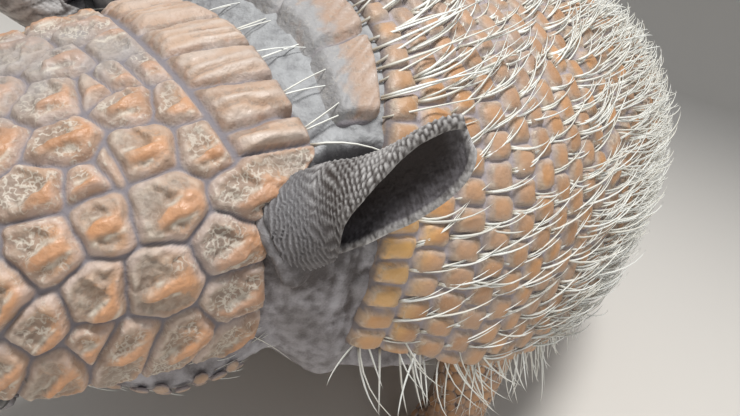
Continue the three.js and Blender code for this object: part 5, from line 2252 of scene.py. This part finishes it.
def claw_material():
    """Horn with fine lengthwise grain, dark at the root and worn pale at the tip."""
    claw = Finish("claw_horn")
    place = claw.place()
    along = claw.mask("along")
    stretch = claw.node("ShaderNodeMapping", {"Vector": place, "Scale": (1.0, 0.12, 1.0)}).outputs[0]
    grain = claw.noise(stretch, 1900.0, 3.0)
    dirt = claw.noise(place, 420.0, 3.0)
    colour = claw.blend(claw.spread(along, 0.1, 0.8), *CLAW_COLOURS)
    colour = claw.blend(claw.spread(grain, 0.3, 0.7, 0.0, 0.5), colour, CLAW_GRAIN)
    colour = claw.blend(claw.spread(dirt, 0.55, 0.75, 0.0, 0.6), colour, CLAW_DIRT)
    roughness = claw.spread(dirt, 0.4, 0.7, 0.32, 0.6)
    claw.shade({"Base Color": colour, "Roughness": roughness, "Normal": claw.bump(grain, 0.35, 0.0002)})
    return claw.material


def eye_material():
    """A dark brown iris round a black pupil, under a wet surface."""
    eye = Finish("wet_eye")
    rays = eye.noise(eye.place(), 1400.0, 2.0)
    iris = eye.blend(rays, *IRIS_COLOURS)
    colour = eye.blend(eye.mask("pupil"), iris, PUPIL_COLOUR)
    eye.shade({"Base Color": colour, "Roughness": 0.08, "Coat Weight": 1.0, "Coat Roughness": 0.03})
    return eye.material


# ---------------- camera, light and floor
CAMERA_AT = (91.0, -248.7, 159.7)
CAMERA_RIGHT = (0.8412, 0.4617, 0.2812)
CAMERA_UP = (-0.4122, 0.2113, 0.8863)
CAMERA_LENS = 29.13
SENSOR_WIDTH = 36


def add_camera():
    data = bpy.data.cameras.new("camera")
    data.lens = CAMERA_LENS
    data.sensor_width = SENSOR_WIDTH
    data.sensor_fit = "HORIZONTAL"
    data.clip_start = 0.005
    data.clip_end = 30
    camera = place_in_scene("camera", data)
    right = Vector(CAMERA_RIGHT).normalized()
    up = Vector(CAMERA_UP)
    up = (up - right * up.dot(right)).normalized()
    turn = Matrix((right, up, right.cross(up))).transposed().to_4x4()
    camera.matrix_world = Matrix.Translation(to_part(np.array(CAMERA_AT))) @ turn
    bpy.context.scene.camera = camera


def add_lamp(name, place, size, power, colour):
    data = bpy.data.lights.new(name, "AREA")
    data.shape = "DISK"
    data.size = size
    data.energy = power
    data.color = colour
    lamp = place_in_scene(name, data)
    lamp.location = place
    lamp.rotation_euler = (Vector(LAMP_TARGET) - Vector(place)).to_track_quat("-Z", "Y").to_euler()


FLOOR_REACH = 3.2  # metres of level floor all round
FLOOR_BEND = 1.3  # metres, radius of the curve from the floor into the wall
WALL_TOP = 3.0
FLOOR_SIDES = 96


def studio_bowl():
    """A level round floor whose edge curves up into a wall."""
    turns = np.linspace(0, math.pi / 2, 17)
    bend = [(FLOOR_REACH + FLOOR_BEND * math.sin(a), FLOOR_BEND * (1 - math.cos(a))) for a in turns]
    profile = [(0.4 * k, 0.0) for k in range(1, 8)] + bend + [(FLOOR_REACH + FLOOR_BEND, WALL_TOP)]
    circle = np.radians(around(FLOOR_SIDES))
    rings = [joined(r * np.cos(circle), r * np.sin(circle), z) for r, z in profile]
    points = np.concatenate([[[0.0, 0.0, 0.0]], *rings])
    index = np.arange(1, len(points)).reshape(len(profile), FLOOR_SIDES)
    beside = np.roll(index, -1, axis=1)
    faces = joined(0, index[0], beside[0]).tolist()
    faces += joined(index[:-1], index[1:], beside[1:], beside[:-1]).reshape(-1, 4).tolist()
    mesh = bpy.data.meshes.new("floor")
    mesh.from_pydata(points.tolist(), [], faces)
    mesh.shade_smooth()
    return place_in_scene("floor", mesh)


ROOM_COLOUR = (0.93, 0.96, 1.0, 1.0)
ROOM_STRENGTH = 0.42
PAPER_COLOUR = srgb(214, 210, 204)
LAMP_TARGET = (0, -0.2, 0.1)
# name, place and size in metres, power in watts, colour
LAMPS = [
    ("sky_panel", (0.1, -0.45, 1.25), 0.35, 15, (1.0, 0.985, 0.96)),
    ("side_panel", (1.1, -0.9, 0.7), 0.8, 2.6, (0.95, 0.97, 1.0)),
]


def add_studio():
    floor = studio_bowl()
    paper = Finish("floor_paper")
    paper.shade({"Base Color": PAPER_COLOUR, "Roughness": 0.9})
    floor.data.materials.append(paper.material)
    world = bpy.data.worlds.new("studio")
    bpy.context.scene.world = world
    world.use_nodes = True
    background = world.node_tree.nodes["Background"]
    background.inputs["Color"].default_value = ROOM_COLOUR
    background.inputs["Strength"].default_value = ROOM_STRENGTH
    for lamp in LAMPS:
        add_lamp(*lamp)
    bpy.context.scene.view_settings.view_transform = "Standard"


# ---------------- the armadillo
def finish_piece(piece, material, slot, *nodes):
    piece.data.materials.append(material)
    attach(piece, "root")
    if nodes:
        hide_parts(*nodes)
    return piece


bpy.ops.object.select_all(action="DESELECT")
add_camera()
add_studio()

crust = crust_group()
head_horn = scute_material("head_horn", HEAD_COLOURS, crust, 0.0016, 0.42)
body_horn = scute_material("body_horn", BODY_COLOURS, crust, 0.0022, 0.48)

finish_piece(head_shield_piece(), head_horn, "head_scute", "head_shield")
finish_piece(nuchal_piece(), head_horn, "body_scute", "nuchal_band")
finish_piece(scapular_piece(), body_horn, "body_scute", "scapular_shield")
for band_number in range(1, BAND_COUNT + 1):
    finish_piece(band_piece(band_number), body_horn, "body_scute", f"band_{band_number}")
finish_piece(pelvic_piece(), body_horn, "body_scute", "pelvic_shield_front", "pelvic_shield_rear")

finish_piece(tail_piece(), body_horn, "body_scute", "tail_base", "tail_middle", "tail_tip")
finish_piece(limb_studs(), body_horn, "body_scute")

bristle_hair = bristle_material()
for coat_name, fill_coat, coat_seed in COATS:
    finish_piece(Coat(coat_name, fill_coat, coat_seed).piece(), bristle_hair, "skin")

claw_horn = claw_material()
wet_eye = eye_material()
for side, side_name in SIDES.items():
    finish_piece(eye_piece(side), wet_eye, "eye", f"eye_{side_name}")
    for kind in LIMBS:
        _, paw, toes = limb(kind, side)
        for index, toe in enumerate(toes, 1):
            claw_name = f"{kind}_claw_{side_name}_{index}"
            finish_piece(claw_piece(f"{claw_name}_horn", toe, paw[0], side), claw_horn, "claw", claw_name)

FLESH = ["head", "neck", "trunk"]
for side_name in SIDES.values():
    FLESH += [f"{part}_{side_name}" for part in ("ear", "fore_leg", "fore_foot", "hind_leg", "hind_foot")]
finish_piece(skin_piece(), skin_material(), "skin", *FLESH)
